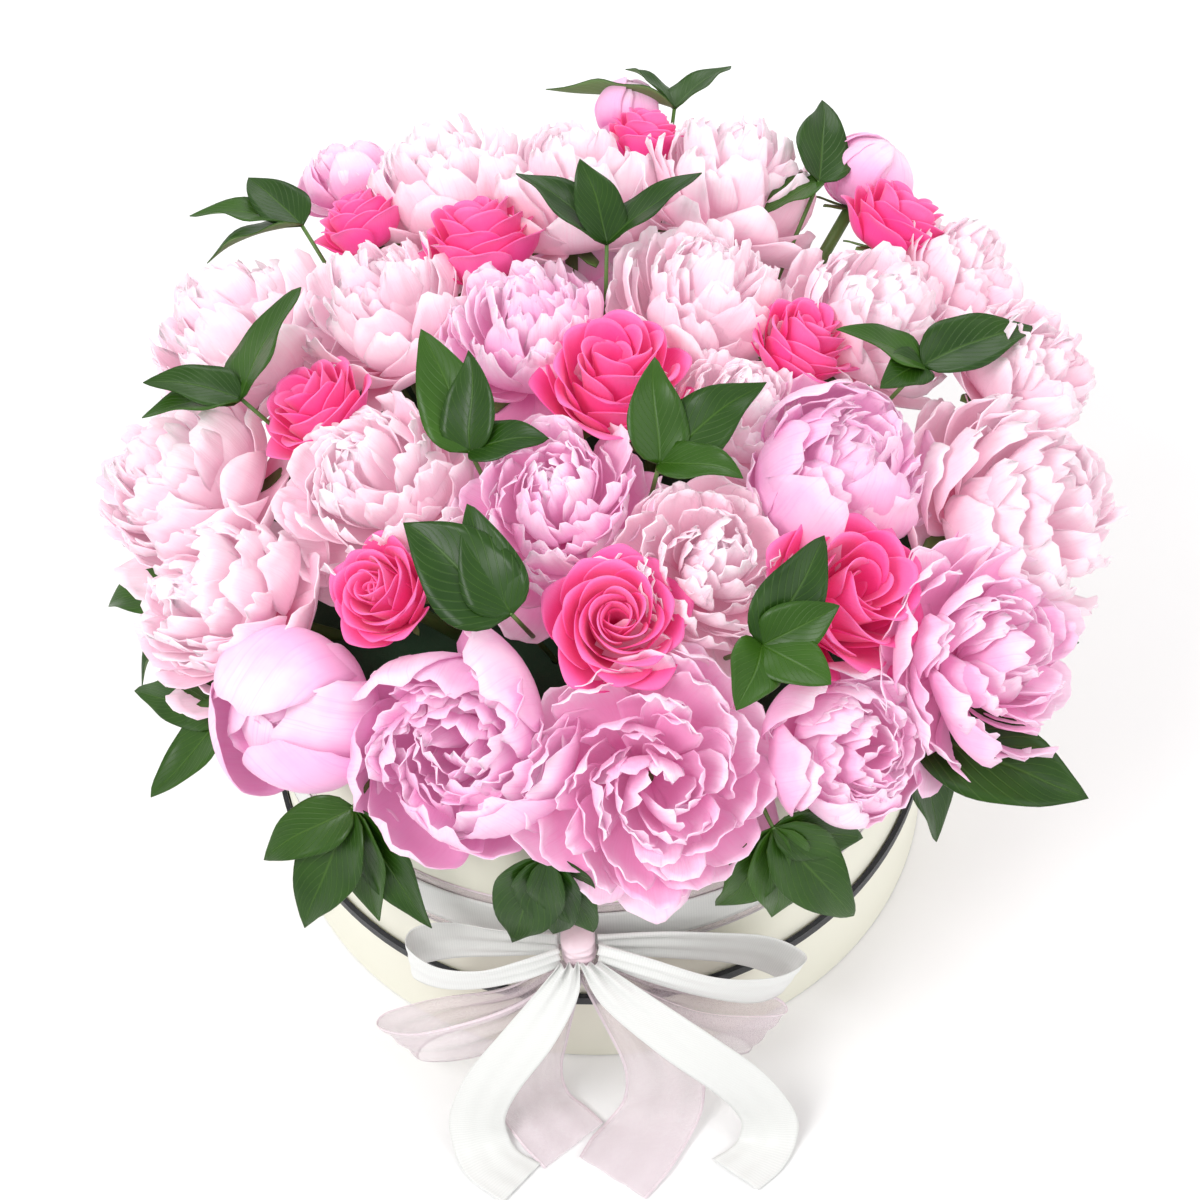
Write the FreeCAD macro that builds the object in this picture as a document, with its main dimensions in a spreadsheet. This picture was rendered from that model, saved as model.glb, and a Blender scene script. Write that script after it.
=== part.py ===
import FreeCAD, Part
import math
import os

import Sketcher
from FreeCAD import Placement, Rotation, Vector

# A round flower box: a board box standing in its own upturned lid, tied with two
# ribbons, and holding a lined block of wet foam with peonies, roses and leaves in it.
# Origin: centre of the lid's underside, where it rests on the table. +Z is up and
# the bow faces -Y. All lengths are in millimetres and all angles in degrees.
# "turn" is the heading of a piece round the box: 0 faces the bow, 90 faces +X.

doc = FreeCAD.newDocument("flower_box")
sheet = doc.addObject("Spreadsheet::Sheet", "sizes")

DRIVING_SIZES = [
    # alias, value, what it is
    ("box_radius", 150, "outside of the box wall, a 300 mm hat box"),
    ("wall_board", 2, "thickness of the box wall"),
    ("base_board", 2, "thickness of the box floor and of the lid's panel"),
    ("rest_gap", 0.3, "room between the box floor and the lid it stands in"),
    ("box_top", 169, "level of the box rim"),
    ("lid_gap", 0.8, "running gap between the box and the lid's rim"),
    ("lid_board", 1.8, "thickness of the lid's rim"),
    ("lid_depth", 52, "height of the lid's rim"),
    ("trim_width", 5.5, "width of the dark edging on the lid"),
    ("trim_cloth", 0.6, "thickness of that edging on the outside"),
    ("trim_lap", 0.4, "thickness of the edging over the rim's end"),
    ("band_middle", 107, "level of the middle of both ribbon bands"),
    ("organza_width", 38, "width of the sheer ribbon"),
    ("satin_width", 25, "width of the satin ribbon"),
    ("ribbon_layer", 0.6, "thickness allowed for one wound band"),
    ("tail_layer", 1.2, "thickness allowed for a loose ribbon"),
    ("knot_side", 16, "width of the knot along the wall"),
    ("knot_rise", 18, "height of the knot"),
    ("knot_front", 166, "distance of the knot's front from the axis"),
    ("knot_offset", -16, "place of the knot to the side of the middle"),
    ("liner_gap", 2, "gap between the box wall and the liner"),
    ("liner_film", 0.7, "thickness of the waterproof liner"),
    ("liner_top", 160, "level of the liner's edge"),
    ("liner_floor", 4.8, "level of the liner's underside"),
    ("foam_seam", 85, "level where the two foam layers meet"),
    ("foam_top", 165, "level of the top of the foam"),
    ("stem_root", 60, "level on the axis that all stems point away from"),
    ("stem_foot", 125, "level of the cut ends of the stems"),
    ("stem_radius", 3, "radius of a flower stem"),
    ("sprig_radius", 1.6, "radius of a leaf stem"),
    ("hole_gap", 0.3, "room round a stem in the foam"),
    ("calyx_radius", 10, "radius of the green cup under a flower"),
    ("calyx_depth", 12, "height of that cup"),
    ("leaf_blade", 1.2, "thickness allowed for a leaf"),
    ("elbow_reach", 141, "where a rim sprig bends over the box rim"),
    ("elbow_level", 177, "level of that bend"),
]

# Depth of a head along its stem as a part of its radius across.
HEAD_DEPTH = {"full": 0.78, "open": 0.66, "half": 0.9, "bud": 1.0, "rose": 1.0}

# node: list of (kind, turn, reach from the axis, level, radius across)
FLOWERS = {
    "peony_front_bud": [("bud", -53, 158, 204, 32)],
    "peony_front_left": [("half", -25, 137, 212, 37)],
    "peony_front_open": [("open", 8, 148, 206, 39)],
    "peony_front_right": [("half", 39, 165, 195, 29)],
    "peony_right_fan": [("open", 60, 190, 206, 34)],
    "peony_right_large": [("full", 84, 192, 210, 41)],
    "peony_right_rear": [("full", 103, 205, 222, 24)],
    "peony_rear_right_rim": [("full", 120, 205, 224, 22)],
    "peony_rear_right": [("full", 153, 176, 242, 32)],
    "peony_rear_middle": [("full", 178, 158, 245, 30)],
    "peony_rear_left": [("full", -163, 180, 240, 30)],
    "peony_left_rear": [("full", -125, 184, 222, 35)],
    "peony_left_large": [("full", -100, 178, 208, 36)],
    "peony_left_front": [("full", -76, 162, 210, 29)],
    "peony_crown_left": [("full", -82, 87, 245, 30)],
    "peony_crown_front": [("full", -18, 36, 252, 32)],
    "peony_crown_right": [("full", 37, 84, 245, 24)],
    "peony_lilac_ball": [("half", 80, 115, 245, 33)],
    "peony_upper_left": [("full", -138, 125, 243, 31)],
    "peony_upper_middle": [("full", -164, 65, 256, 30)],
    "peony_upper_right": [("full", 143, 98, 252, 32)],
    "peony_nested": [("full", 99, 71, 248, 20)],
    "peony_upper_side": [("full", 118, 155, 235, 28)],
    "peony_low_rear_left": [("full", -142, 168, 193, 20), ("full", -165, 166, 191, 20)],
    "peony_low_rear_right": [("full", 178, 164, 191, 20), ("full", 161, 166, 190, 19), ("full", 147, 168, 193, 20)],
    "peony_rear_buds": [("bud", 138, 212, 237, 18), ("bud", -152, 209, 238, 16), ("bud", 170, 208, 245, 14)],
    "rose_crown": [("rose", 140, 29, 265, 24)],
    "rose_rear_left": [("rose", -163, 124, 256, 21)],
    "rose_right": [("rose", 114, 110, 252, 18)],
    "rose_left": [("rose", -107, 116, 246, 19)],
    "rose_front_left": [("rose", -52, 106, 240, 19)],
    "rose_front": [("rose", 7, 92, 243, 21)],
    "rose_front_right": [("rose", 54, 133, 234, 24)],
    "rose_rear_right": [("rose", 129, 194, 244, 14)],
    "rose_rear_small": [("rose", -148, 170, 246, 13), ("rose", 167, 184, 252, 12)],
}

# node: list of (turn, reach, level, blades), each blade (turn, rise, length, width).
# The reach and level are those of the point that the blades grow from.
CROWN_SPRIGS = {
    "foliage_crown": [
        (46, 46, 268, [(175, 45, 40, 20), (115, 28, 50, 24), (60, 25, 36, 16)]),
        (-68, 47, 268, [(-160, 35, 46, 22), (178, 50, 36, 20), (78, 35, 34, 16)]),
        (168, 95, 270, [(-140, 22, 50, 22), (-170, 35, 36, 18), (122, 24, 46, 20)]),
    ],
    "foliage_sides": [
        (-105, 146, 250, [(150, 35, 46, 28), (-104, 20, 36, 18), (-85, 10, 38, 18)]),
        (99, 150, 253, [(-96, 42, 38, 18), (115, 2, 52, 22), (-40, 34, 28, 16)]),
        (-18, 100, 258, [(-125, 28, 50, 30), (-150, 40, 42, 22)]),
        (31, 130, 246, [(134, 36, 42, 22), (94, 30, 30, 18), (44, 8, 30, 18), (-16, 14, 32, 18)]),
    ],
    "foliage_rear": [
        (-141, 184, 252, [(-114, 14, 48, 22), (-145, 24, 36, 18), (-90, 0, 44, 20)]),
        (164, 206, 255.5, [(-122, 18, 56, 26), (150, 38, 34, 16)]),
        (140, 182, 259, [(168, 24, 40, 22), (-62, 14, 30, 18)]),
    ],
}
# Sprigs that bend over the rim and hang outside the box, in the gaps of the rim flowers.
RIM_SPRIGS = {
    "foliage_rim_front": [
        (-39, 164, 178, [(-40, -50, 56, 26), (-72, -20, 44, 18), (0, -62, 46, 20)]),
        (-9, 160, 176, [(-50, -66, 50, 20), (10, -76, 44, 20), (60, -55, 40, 18)]),
        (24, 166, 175, [(62, -52, 60, 26), (0, -70, 40, 18), (96, -30, 44, 16)]),
        (50, 170, 176, [(40, -60, 58, 24), (66, -8, 72, 30)]),
    ],
    "foliage_rim_sides": [
        (-65, 168, 178, [(-120, -12, 50, 18), (-75, -40, 40, 16)]),
        (-88, 170, 178, [(-110, -24, 56, 18), (-60, -34, 50, 18)]),
        (-112, 172, 178, [(-130, -20, 50, 20), (-95, -34, 44, 18)]),
        (72, 172, 178, [(66, -28, 52, 22), (90, -20, 50, 18)]),
        (94, 176, 178, [(84, -16, 54, 18), (112, -36, 46, 18)]),
        (128, 172, 176, [(112, -30, 50, 20), (140, -44, 46, 20)]),
    ],
    "foliage_rim_rear": [
        (-134, 166, 174, [(-150, -46, 50, 22), (-115, -36, 46, 20)]),
        (-147, 164, 172, [(-170, -56, 50, 22), (-140, -34, 44, 18)]),
        (-173, 164, 172, [(165, -56, 50, 22), (-160, -36, 44, 18)]),
        (173, 164, 172, [(157, -56, 50, 22), (178, -36, 44, 18)]),
        (154, 166, 174, [(138, -46, 50, 22), (158, -36, 44, 18)]),
    ],
}

# Radius of the knuckle where a sprig branches, as a multiple of the stem's.
NODE_SWELL = 1.25

# Loose ribbons: (x, y, z, width, direction of the ribbon's edge-to-edge line) along the run.
RIBBONS = {
    "satin_loop_left": [
        (-24.4, -163, 108, 16, (0, 0, 1)),
        (-58, -168, 107, 24, (0, 0, 1)),
        (-84, -157, 100, 25, (0, 0, 1)),
        (-88, -148, 99, 25, (0, 0, 1)),
        (-82, -143, 99, 25, (0, 0, 1)),
        (-56, -152, 105, 24, (0, 0, 1)),
        (-24.4, -157.5, 108, 16, (0, 0, 1)),
    ],
    "satin_loop_right": [
        (-7.6, -163, 107, 16, (0, 0, 1)),
        (34, -171, 94, 24, (0.25, 0, 1)),
        (70, -163, 70, 25, (0.35, 0, 1)),
        (75, -154, 66, 25, (0.35, 0, 1)),
        (69, -148, 70, 25, (0.35, 0, 1)),
        (34, -156, 94, 24, (0.25, 0, 1)),
        (-7.6, -157.5, 107, 16, (0, 0, 1)),
    ],
    "organza_loop_left": [
        (-20, -163, 94, 7, (-1, 0, 0.4)),
        (-48, -168, 66, 20, (-1, 0, 1)),
        (-84, -164, 42, 30, (-0.6, 0, 1)),
        (-100, -156, 34, 33, (-0.5, 0, 1)),
        (-92, -149, 38, 32, (-0.5, 0, 1)),
        (-50, -156, 60, 20, (-1, 0, 1)),
        (-21, -157, 91, 7, (-1, 0, 0.4)),
    ],
    "organza_loop_right": [
        (-12, -163, 94, 7, (1, 0, 0.4)),
        (16, -170, 66, 20, (1, 0, 1)),
        (48, -172, 42, 30, (0.6, 0, 1)),
        (64, -166, 34, 33, (0.5, 0, 1)),
        (56, -159, 38, 32, (0.5, 0, 1)),
        (18, -160, 60, 20, (1, 0, 1)),
        (-11, -157, 91, 7, (1, 0, 0.4)),
    ],
    "satin_tail_left": [
        (-20.5, -166.8, 106, 6, (1, 0, 0)),
        (-40, -180, 72, 24, (1, -0.2, 0)),
        (-60, -184, 34, 25, (1, -0.1, 0)),
        (-66, -190, 5, 25, (1, 0.2, 0)),
        (-62, -201, 1.2, 25, (1, 0.6, 0)),
        (-50, -212, 1.2, 25, (0.8, 0.8, 0)),
    ],
    "organza_tail_left": [
        (-19, -166.8, 97, 6, (1, 0, 0)),
        (-34, -171, 60, 20, (1, 0, 0)),
        (-43, -173, 26, 26, (1, 0, 0)),
        (-40, -178, 4, 26, (1, 0.3, 0)),
        (-32, -186, 1.2, 26, (0.9, 0.5, 0)),
    ],
    "organza_tail_right": [
        (-13, -166.8, 97, 6, (1, 0, 0)),
        (8, -179, 64, 24, (1, 0, 0)),
        (16, -181, 30, 30, (1, 0, 0)),
        (10, -188, 4, 34, (1, -0.2, 0)),
        (2, -201, 1.2, 38, (1, -0.5, 0)),
        (-8, -211, 1.2, 32, (1, -0.8, 0)),
    ],
    "satin_tail_right": [
        (-11.5, -166.8, 106, 6, (1, 0, 0)),
        (26, -190, 76, 24, (1, 0.2, 0)),
        (52, -194, 34, 25, (1, 0.1, 0)),
        (60, -200, 5, 25, (1, -0.2, 0)),
        (54, -210, 1.2, 25, (1, -0.5, 0)),
        (44, -216, 1.2, 24, (0.8, -0.7, 0)),
    ],
}

parts = []


def keep(piece, node):
    """Names a finished sub-part after its node and lists it for checking and export."""
    piece.Label = node
    parts.append(piece)
    return piece


def enter_sizes():
    """Fills the sheet: the driving sizes, then the place and size of every flower."""
    rows = list(DRIVING_SIZES)
    for kind, ratio in HEAD_DEPTH.items():
        rows.append(("depth_of_" + kind, ratio, "depth of this head as a part of its radius"))
    for node, heads in FLOWERS.items():
        for count, (kind, turn, reach, level, across) in enumerate(heads, start=1):
            stem = "%s_%d" % (node, count)
            rows.append((stem + "_turn", turn, "heading of the flower"))
            rows.append((stem + "_reach", reach, "distance of its head from the axis"))
            rows.append((stem + "_level", level, "level of its head"))
            rows.append((stem + "_across", across, "radius of its head across the stem"))
    for row, (alias, value, note) in enumerate(rows, start=1):
        sheet.set("A%d" % row, note)
        sheet.set("B%d" % row, str(value))
        sheet.setAlias("B%d" % row, alias)
    doc.recompute()


def size(alias):
    return float(sheet.get(alias))


def origin_plane(body, role):
    return next(plane for plane in body.Origin.OriginFeatures if plane.Role == role)


def body_with_sketch(node, role):
    """A new body with one sketch on the named plane of its own origin."""
    body = doc.addObject("PartDesign::Body", node)
    sketch = body.newObject("Sketcher::SketchObject", node + "_sketch")
    sketch.AttachmentSupport = [(origin_plane(body, role), "")]
    sketch.MapMode = "FlatFace"
    return body, sketch


def round_board(node, outside, inside, height, level):
    """A disc, or a ring where inside is given: circles padded upwards from a level."""
    body, sketch = body_with_sketch(node, "XY_Plane")
    for name, radius in (("outside", outside), ("inside", inside)):
        if radius is None:
            continue
        start = 100 if name == "outside" else 90
        circle = sketch.addGeometry(Part.Circle(Vector(0, 0, 0), Vector(0, 0, 1), start))
        sketch.addConstraint(Sketcher.Constraint("Coincident", circle, 3, -1, 1))
        rule = sketch.addConstraint(Sketcher.Constraint("Radius", circle, start))
        sketch.renameConstraint(rule, name)
        sketch.setExpression("Constraints." + name, radius)
    pad = body.newObject("PartDesign::Pad", node + "_pad")
    pad.Profile = sketch
    pad.setExpression("Length", height)
    body.setExpression("Placement.Base.z", level)
    return keep(body, node)


def turned_board(node, corners):
    """A profile in the XZ plane turned about Z; corners are (radius, level) expressions."""
    body, sketch = body_with_sketch(node, "XZ_Plane")
    spots = []
    for radius, level in corners:
        across = 0.0 if radius is None else sheet.evalExpression(radius)
        spots.append(Vector(float(across), float(sheet.evalExpression(level)), 0))
    last = len(spots)
    for i in range(last):
        sketch.addGeometry(Part.LineSegment(spots[i], spots[(i + 1) % last]))
    for i in range(last):
        sketch.addConstraint(Sketcher.Constraint("Coincident", i, 2, (i + 1) % last, 1))
    for i, (radius, level) in enumerate(corners):
        if radius is None:
            sketch.addConstraint(Sketcher.Constraint("PointOnObject", i, 1, -2))
        else:
            rule = sketch.addConstraint(Sketcher.Constraint("DistanceX", -1, 1, i, 1, spots[i].x))
            sketch.setExpression("Constraints[%d]" % rule, radius)
        rule = sketch.addConstraint(Sketcher.Constraint("DistanceY", -1, 1, i, 1, spots[i].y))
        sketch.setExpression("Constraints[%d]" % rule, level)
    turned = body.newObject("PartDesign::Revolution", node + "_turned")
    turned.Profile = sketch
    turned.ReferenceAxis = (sketch, ["V_Axis"])
    turned.Angle = 360
    return keep(body, node)


def make_lid():
    inside = "sizes.box_radius + sizes.lid_gap"
    outside = inside + " + sizes.lid_board"
    round_board("lid_panel", inside, None, "sizes.base_board", "0")
    round_board("lid_rim", outside, inside, "sizes.lid_depth", "0")
    face = outside + " + sizes.trim_cloth"
    top = "sizes.lid_depth + sizes.trim_lap"
    turned_board("lid_trim", [
        (outside, top + " - sizes.trim_width"),
        (face, top + " - sizes.trim_width"),
        (face, top),
        (inside + " + 0.1", top),
        (inside + " + 0.1", "sizes.lid_depth"),
        (outside, "sizes.lid_depth"),
    ])


def make_box():
    inside = "sizes.box_radius - sizes.wall_board"
    level = "sizes.base_board + sizes.rest_gap"
    round_board("box_base", inside, None, "sizes.base_board", level)
    height = "sizes.box_top - sizes.base_board - sizes.rest_gap"
    round_board("box_wall", "sizes.box_radius", inside, height, level)


def make_bands():
    """The two ribbons wound round the wall, the sheer one under the satin one."""
    first = "sizes.box_radius + sizes.ribbon_layer"
    second = first + " + sizes.ribbon_layer"
    for node, outside, inside, width in (
        ("organza_band", first, "sizes.box_radius", "sizes.organza_width"),
        ("satin_band", second, first, "sizes.satin_width"),
    ):
        round_board(node, outside, inside, width, "sizes.band_middle - %s / 2" % width)


def make_knot():
    """The tied knot: a block hollowed at its back to sit on the satin band."""
    block = doc.addObject("Part::Box", "knot_block")
    block.setExpression("Length", "sizes.knot_side")
    block.setExpression("Width", "20")
    block.setExpression("Height", "sizes.knot_rise")
    block.setExpression("Placement.Base.x", "sizes.knot_offset - sizes.knot_side / 2")
    block.setExpression("Placement.Base.y", "-sizes.knot_front")
    block.setExpression("Placement.Base.z", "sizes.band_middle - sizes.knot_rise / 2")
    wall = doc.addObject("Part::Cylinder", "knot_seat")
    wall.setExpression("Radius", "sizes.box_radius + 2 * sizes.ribbon_layer")
    wall.setExpression("Height", "sizes.box_top")
    knot = doc.addObject("Part::Cut", "bow_knot")
    knot.Base = block
    knot.Tool = wall
    keep(knot, "bow_knot")


def ribbon_corners(run, i):
    """The four corners of the ribbon's cross-section at one place along its run."""
    x, y, z, width, edge = run[i]
    here = Vector(x, y, z)
    before = Vector(*run[max(i - 1, 0)][:3])
    after = Vector(*run[min(i + 1, len(run) - 1)][:3])
    across = Vector(*edge).normalize()
    along = (after - before).normalize()
    through = across.cross(along).normalize()
    half_width = across * (width / 2)
    half_layer = through * (size("tail_layer") / 2)
    return [
        here - half_width - half_layer,
        here + half_width - half_layer,
        here + half_width + half_layer,
        here - half_width + half_layer,
    ]


def ribbon_solid(run):
    """A closed strip through the sections of a run, with ruled sides between them."""
    sections = [ribbon_corners(run, i) for i in range(len(run))]
    faces = [Part.Face(Part.makePolygon(end + end[:1])) for end in (sections[0], sections[-1])]
    for low, high in zip(sections, sections[1:]):
        for i in range(4):
            j = (i + 1) % 4
            faces.append(Part.makeRuledSurface(
                Part.makeLine(low[i], low[j]), Part.makeLine(high[i], high[j]), 1))
    shell = Part.makeShell(faces)
    shell.sewShape()
    solid = Part.makeSolid(shell)
    if solid.Volume < 0:
        solid.reverse()
    return solid


def make_ribbons():
    for node, run in RIBBONS.items():
        ribbon = doc.addObject("Part::Feature", node)
        ribbon.Shape = ribbon_solid(run)
        ribbon.Placement = Placement()
        keep(ribbon, node)


def make_liner():
    outside = "sizes.box_radius - sizes.wall_board - sizes.liner_gap"
    inside = outside + " - sizes.liner_film"
    floor = "sizes.liner_floor"
    turned_board("liner", [
        (None, floor),
        (outside, floor),
        (outside, "sizes.liner_top"),
        (inside, "sizes.liner_top"),
        (inside, floor + " + sizes.liner_film"),
        (None, floor + " + sizes.liner_film"),
    ])


def spot(turn, reach, level):
    """The point at a heading, a distance from the axis and a level."""
    angle = math.radians(turn)
    return Vector(reach * math.sin(angle), -reach * math.cos(angle), level)


def stem_heading(tip):
    return (tip - Vector(0, 0, size("stem_root"))).normalize()


def upright_to(direction):
    return Rotation(Vector(0, 0, 1), direction)


stem_holes = []


def bore_for(tip, radius):
    """A rod along a stem's line, a little wider than it, to cut its hole in the foam."""
    heading = stem_heading(tip)
    rod = doc.addObject("Part::Cylinder", "stem_hole_%02d" % (len(stem_holes) + 1))
    rod.setExpression("Radius", "sizes.%s + sizes.hole_gap" % radius)
    rod.Height = (size("foam_top") + 10 - size("stem_foot")) / heading.z
    foot = Vector(0, 0, size("stem_root"))
    foot = foot + heading * ((size("stem_foot") - 1 - size("stem_root")) / heading.z)
    rod.Placement = Placement(foot, upright_to(heading))
    stem_holes.append(rod)


def make_flower(name, kind):
    """A head, its calyx and its stem in one piece, standing along local Z."""
    depth = "sizes.%s_across * sizes.depth_of_%s" % (name, kind)
    head = doc.addObject("Part::Ellipsoid", name + "_head")
    head.setExpression("Radius1", depth)
    head.setExpression("Radius2", "sizes.%s_across" % name)
    head.setExpression("Radius3", "sizes.%s_across" % name)
    calyx = doc.addObject("Part::Cone", name + "_calyx")
    calyx.setExpression("Radius1", "sizes.stem_radius")
    calyx.setExpression("Radius2", "min(sizes.calyx_radius; 0.5 * sizes.%s_across)" % name)
    calyx.setExpression("Height", "sizes.calyx_depth")
    calyx.setExpression("Placement.Base.z", "-(%s) - sizes.calyx_depth * 0.4" % depth)
    stem = doc.addObject("Part::Cylinder", name + "_stem")
    stem.setExpression("Radius", "sizes.stem_radius")
    rise = "(sizes.%s_level - sizes.stem_root)" % name
    slope = "sqrt(sizes.%s_reach ^ 2 + %s ^ 2)" % (name, rise)
    stem.setExpression("Height", "%s * (sizes.%s_level - sizes.stem_foot) / %s" % (slope, name, rise))
    stem.setExpression("Placement.Base.z", "-%s * (sizes.%s_level - sizes.stem_foot) / %s" % (slope, name, rise))
    flower = doc.addObject("Part::MultiFuse", name)
    flower.Shapes = [head, calyx, stem]
    middle = spot(size(name + "_turn"), size(name + "_reach"), size(name + "_level"))
    flower.Placement = Placement(middle, upright_to(stem_heading(middle)))
    bore_for(middle, "stem_radius")
    return flower


def make_flowers():
    for node, heads in FLOWERS.items():
        made = [make_flower("%s_%d" % (node, i), head[0]) for i, head in enumerate(heads, start=1)]
        if len(made) == 1:
            keep(made[0], node)
        else:
            group = doc.addObject("Part::Compound", node + "_group")
            group.Links = made
            keep(group, node)


def leaf_blade(base, outward, turn, rise, length, width):
    """A flat pointed leaf growing from base; outward is the way its face looks."""
    lift = math.radians(rise)
    along = spot(turn, math.cos(lift), math.sin(lift))
    face = (outward - along * outward.dot(along)).normalize()
    side = face.cross(along)
    start = base - along * size("sprig_radius")
    tip = base + along * length
    belly = base + along * (0.42 * length)
    edges = [
        Part.Arc(start, belly + side * (width / 2), tip).toShape(),
        Part.Arc(tip, belly - side * (width / 2), start).toShape(),
    ]
    flat = Part.Face(Part.Wire(edges))
    flat.translate(face * (-size("leaf_blade") / 2))
    return flat.extrude(face * size("leaf_blade"))


def rod_between(low, high, radius):
    run = high - low
    return Part.makeCylinder(radius, run.Length, low, run)


def make_sprig(turn, reach, level, blades, over_rim):
    """Leaves on one stem, which runs straight from the foam or bends over the rim."""
    radius = size("sprig_radius")
    base = spot(turn, reach, level)
    bend = spot(turn, size("elbow_reach"), size("elbow_level")) if over_rim else base
    heading = stem_heading(bend)
    root = Vector(0, 0, size("stem_root"))
    foot = root + heading * ((size("stem_foot") - root.z) / heading.z)
    solids = [rod_between(foot, bend + heading * radius, radius)]
    if over_rim:
        reach_out = (base - bend).normalize()
        solids.append(rod_between(bend - reach_out * radius, base, radius * 0.9))
    outward = stem_heading(base)
    solids.append(Part.makeSphere(radius * NODE_SWELL, base, outward))
    for blade in blades:
        solids.append(leaf_blade(base, outward, *blade))
    bore_for(bend, "sprig_radius")
    return solids[0].multiFuse(solids[1:]).removeSplitter()


def make_foliage():
    for table, over_rim in ((CROWN_SPRIGS, False), (RIM_SPRIGS, True)):
        for node, sprigs in table.items():
            made = [make_sprig(*sprig, over_rim) for sprig in sprigs]
            foliage = doc.addObject("Part::Feature", node)
            foliage.Shape = Part.makeCompound(made)
            foliage.Placement = Placement()
            keep(foliage, node)


def make_foam():
    """Two round layers of foam in the liner, the upper one bored for every stem."""
    radius = "sizes.box_radius - sizes.wall_board - sizes.liner_gap - sizes.liner_film"
    floor = "sizes.liner_floor + sizes.liner_film"
    round_board("foam_lower", radius, None, "sizes.foam_seam - (%s)" % floor, floor)
    block = doc.addObject("Part::Cylinder", "foam_block")
    block.setExpression("Radius", radius + " - 0.2")
    block.setExpression("Height", "sizes.foam_top - sizes.foam_seam")
    block.setExpression("Placement.Base.z", "sizes.foam_seam")
    holes = doc.addObject("Part::MultiFuse", "foam_holes")
    holes.Shapes = stem_holes
    foam = doc.addObject("Part::Cut", "foam_upper")
    foam.Base = block
    foam.Tool = holes
    keep(foam, "foam_upper")


def check_and_write():
    """Stops on any failed object or bad shape, then writes one file for each sub-part."""
    doc.recompute()
    for item in doc.Objects:
        if "Invalid" in item.State or "Error" in item.State:
            raise RuntimeError("%s failed: %s" % (item.Name, item.State))
    for piece in parts:
        if piece.Shape.isNull() or not piece.Shape.isValid():
            raise RuntimeError("%s has a bad shape" % piece.Label)
    os.makedirs("parts", exist_ok=True)
    for piece in parts:
        piece.Shape.exportStep("parts/%s.step" % piece.Label)
        print("%-24s %d solid(s) %9.0f mm3" % (piece.Label, len(piece.Shape.Solids), piece.Shape.Volume))
    print(len(parts), "sub-parts written")


enter_sizes()
make_lid()
make_box()
make_bands()
make_knot()
make_ribbons()
make_liner()
make_flowers()
make_foliage()
make_foam()
check_and_write()
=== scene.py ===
import math

import bmesh
import bpy
import numpy as np
from mathutils import Matrix, Vector


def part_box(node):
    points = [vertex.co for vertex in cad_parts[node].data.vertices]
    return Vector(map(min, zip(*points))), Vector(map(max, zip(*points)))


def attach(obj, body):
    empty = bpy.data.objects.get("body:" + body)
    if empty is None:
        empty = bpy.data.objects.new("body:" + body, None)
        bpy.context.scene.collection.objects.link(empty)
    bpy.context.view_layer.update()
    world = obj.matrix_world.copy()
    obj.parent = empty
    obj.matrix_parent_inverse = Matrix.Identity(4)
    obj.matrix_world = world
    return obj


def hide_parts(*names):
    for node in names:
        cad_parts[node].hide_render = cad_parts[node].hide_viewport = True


# The flower box: cream board box in its upturned lid, a satin and organza bow,
# peonies, roses and glossy leaves. Metres, +Z up, bow towards -Y.

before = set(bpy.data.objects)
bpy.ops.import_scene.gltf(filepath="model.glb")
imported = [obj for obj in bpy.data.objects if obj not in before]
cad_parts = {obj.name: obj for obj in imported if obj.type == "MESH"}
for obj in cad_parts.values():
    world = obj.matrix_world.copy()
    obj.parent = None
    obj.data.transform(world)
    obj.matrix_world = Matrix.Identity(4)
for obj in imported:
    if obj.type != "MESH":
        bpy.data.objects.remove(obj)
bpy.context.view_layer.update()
scene = bpy.context.scene
deg = math.radians
print("frame loaded,", len(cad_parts), "nodes")

view = {
    "target": (0.00465, 0.0, 0.1397),
    "distance": 1.2546,
    "elevation": 52.1,
    "roll": -4.53,
    "lens": 84.0,
}


def makeCamera():
    rise, roll = deg(view["elevation"]), deg(view["roll"])
    back = Vector((0, -math.cos(rise), math.sin(rise)))
    side = (-back).cross(Vector((0, 0, 1))).normalized()
    up = side.cross(-back)
    sideRolled = side * math.cos(roll) + up * math.sin(roll)
    upRolled = up * math.cos(roll) - side * math.sin(roll)
    data = bpy.data.cameras.new("studioCamera")
    data.lens = view["lens"]
    data.sensor_width = 36
    data.clip_end = 20
    camera = bpy.data.objects.new("studioCamera", data)
    scene.collection.objects.link(camera)
    turn = Matrix((sideRolled, upRolled, back)).transposed().to_4x4()
    place = Vector(view["target"]) + back * view["distance"]
    camera.matrix_world = Matrix.Translation(place) @ turn
    scene.camera = camera


makeCamera()

# Where the lines of all stems meet, low in the box.
stemRoot = (0.0, 0.0, 0.06)


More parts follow.
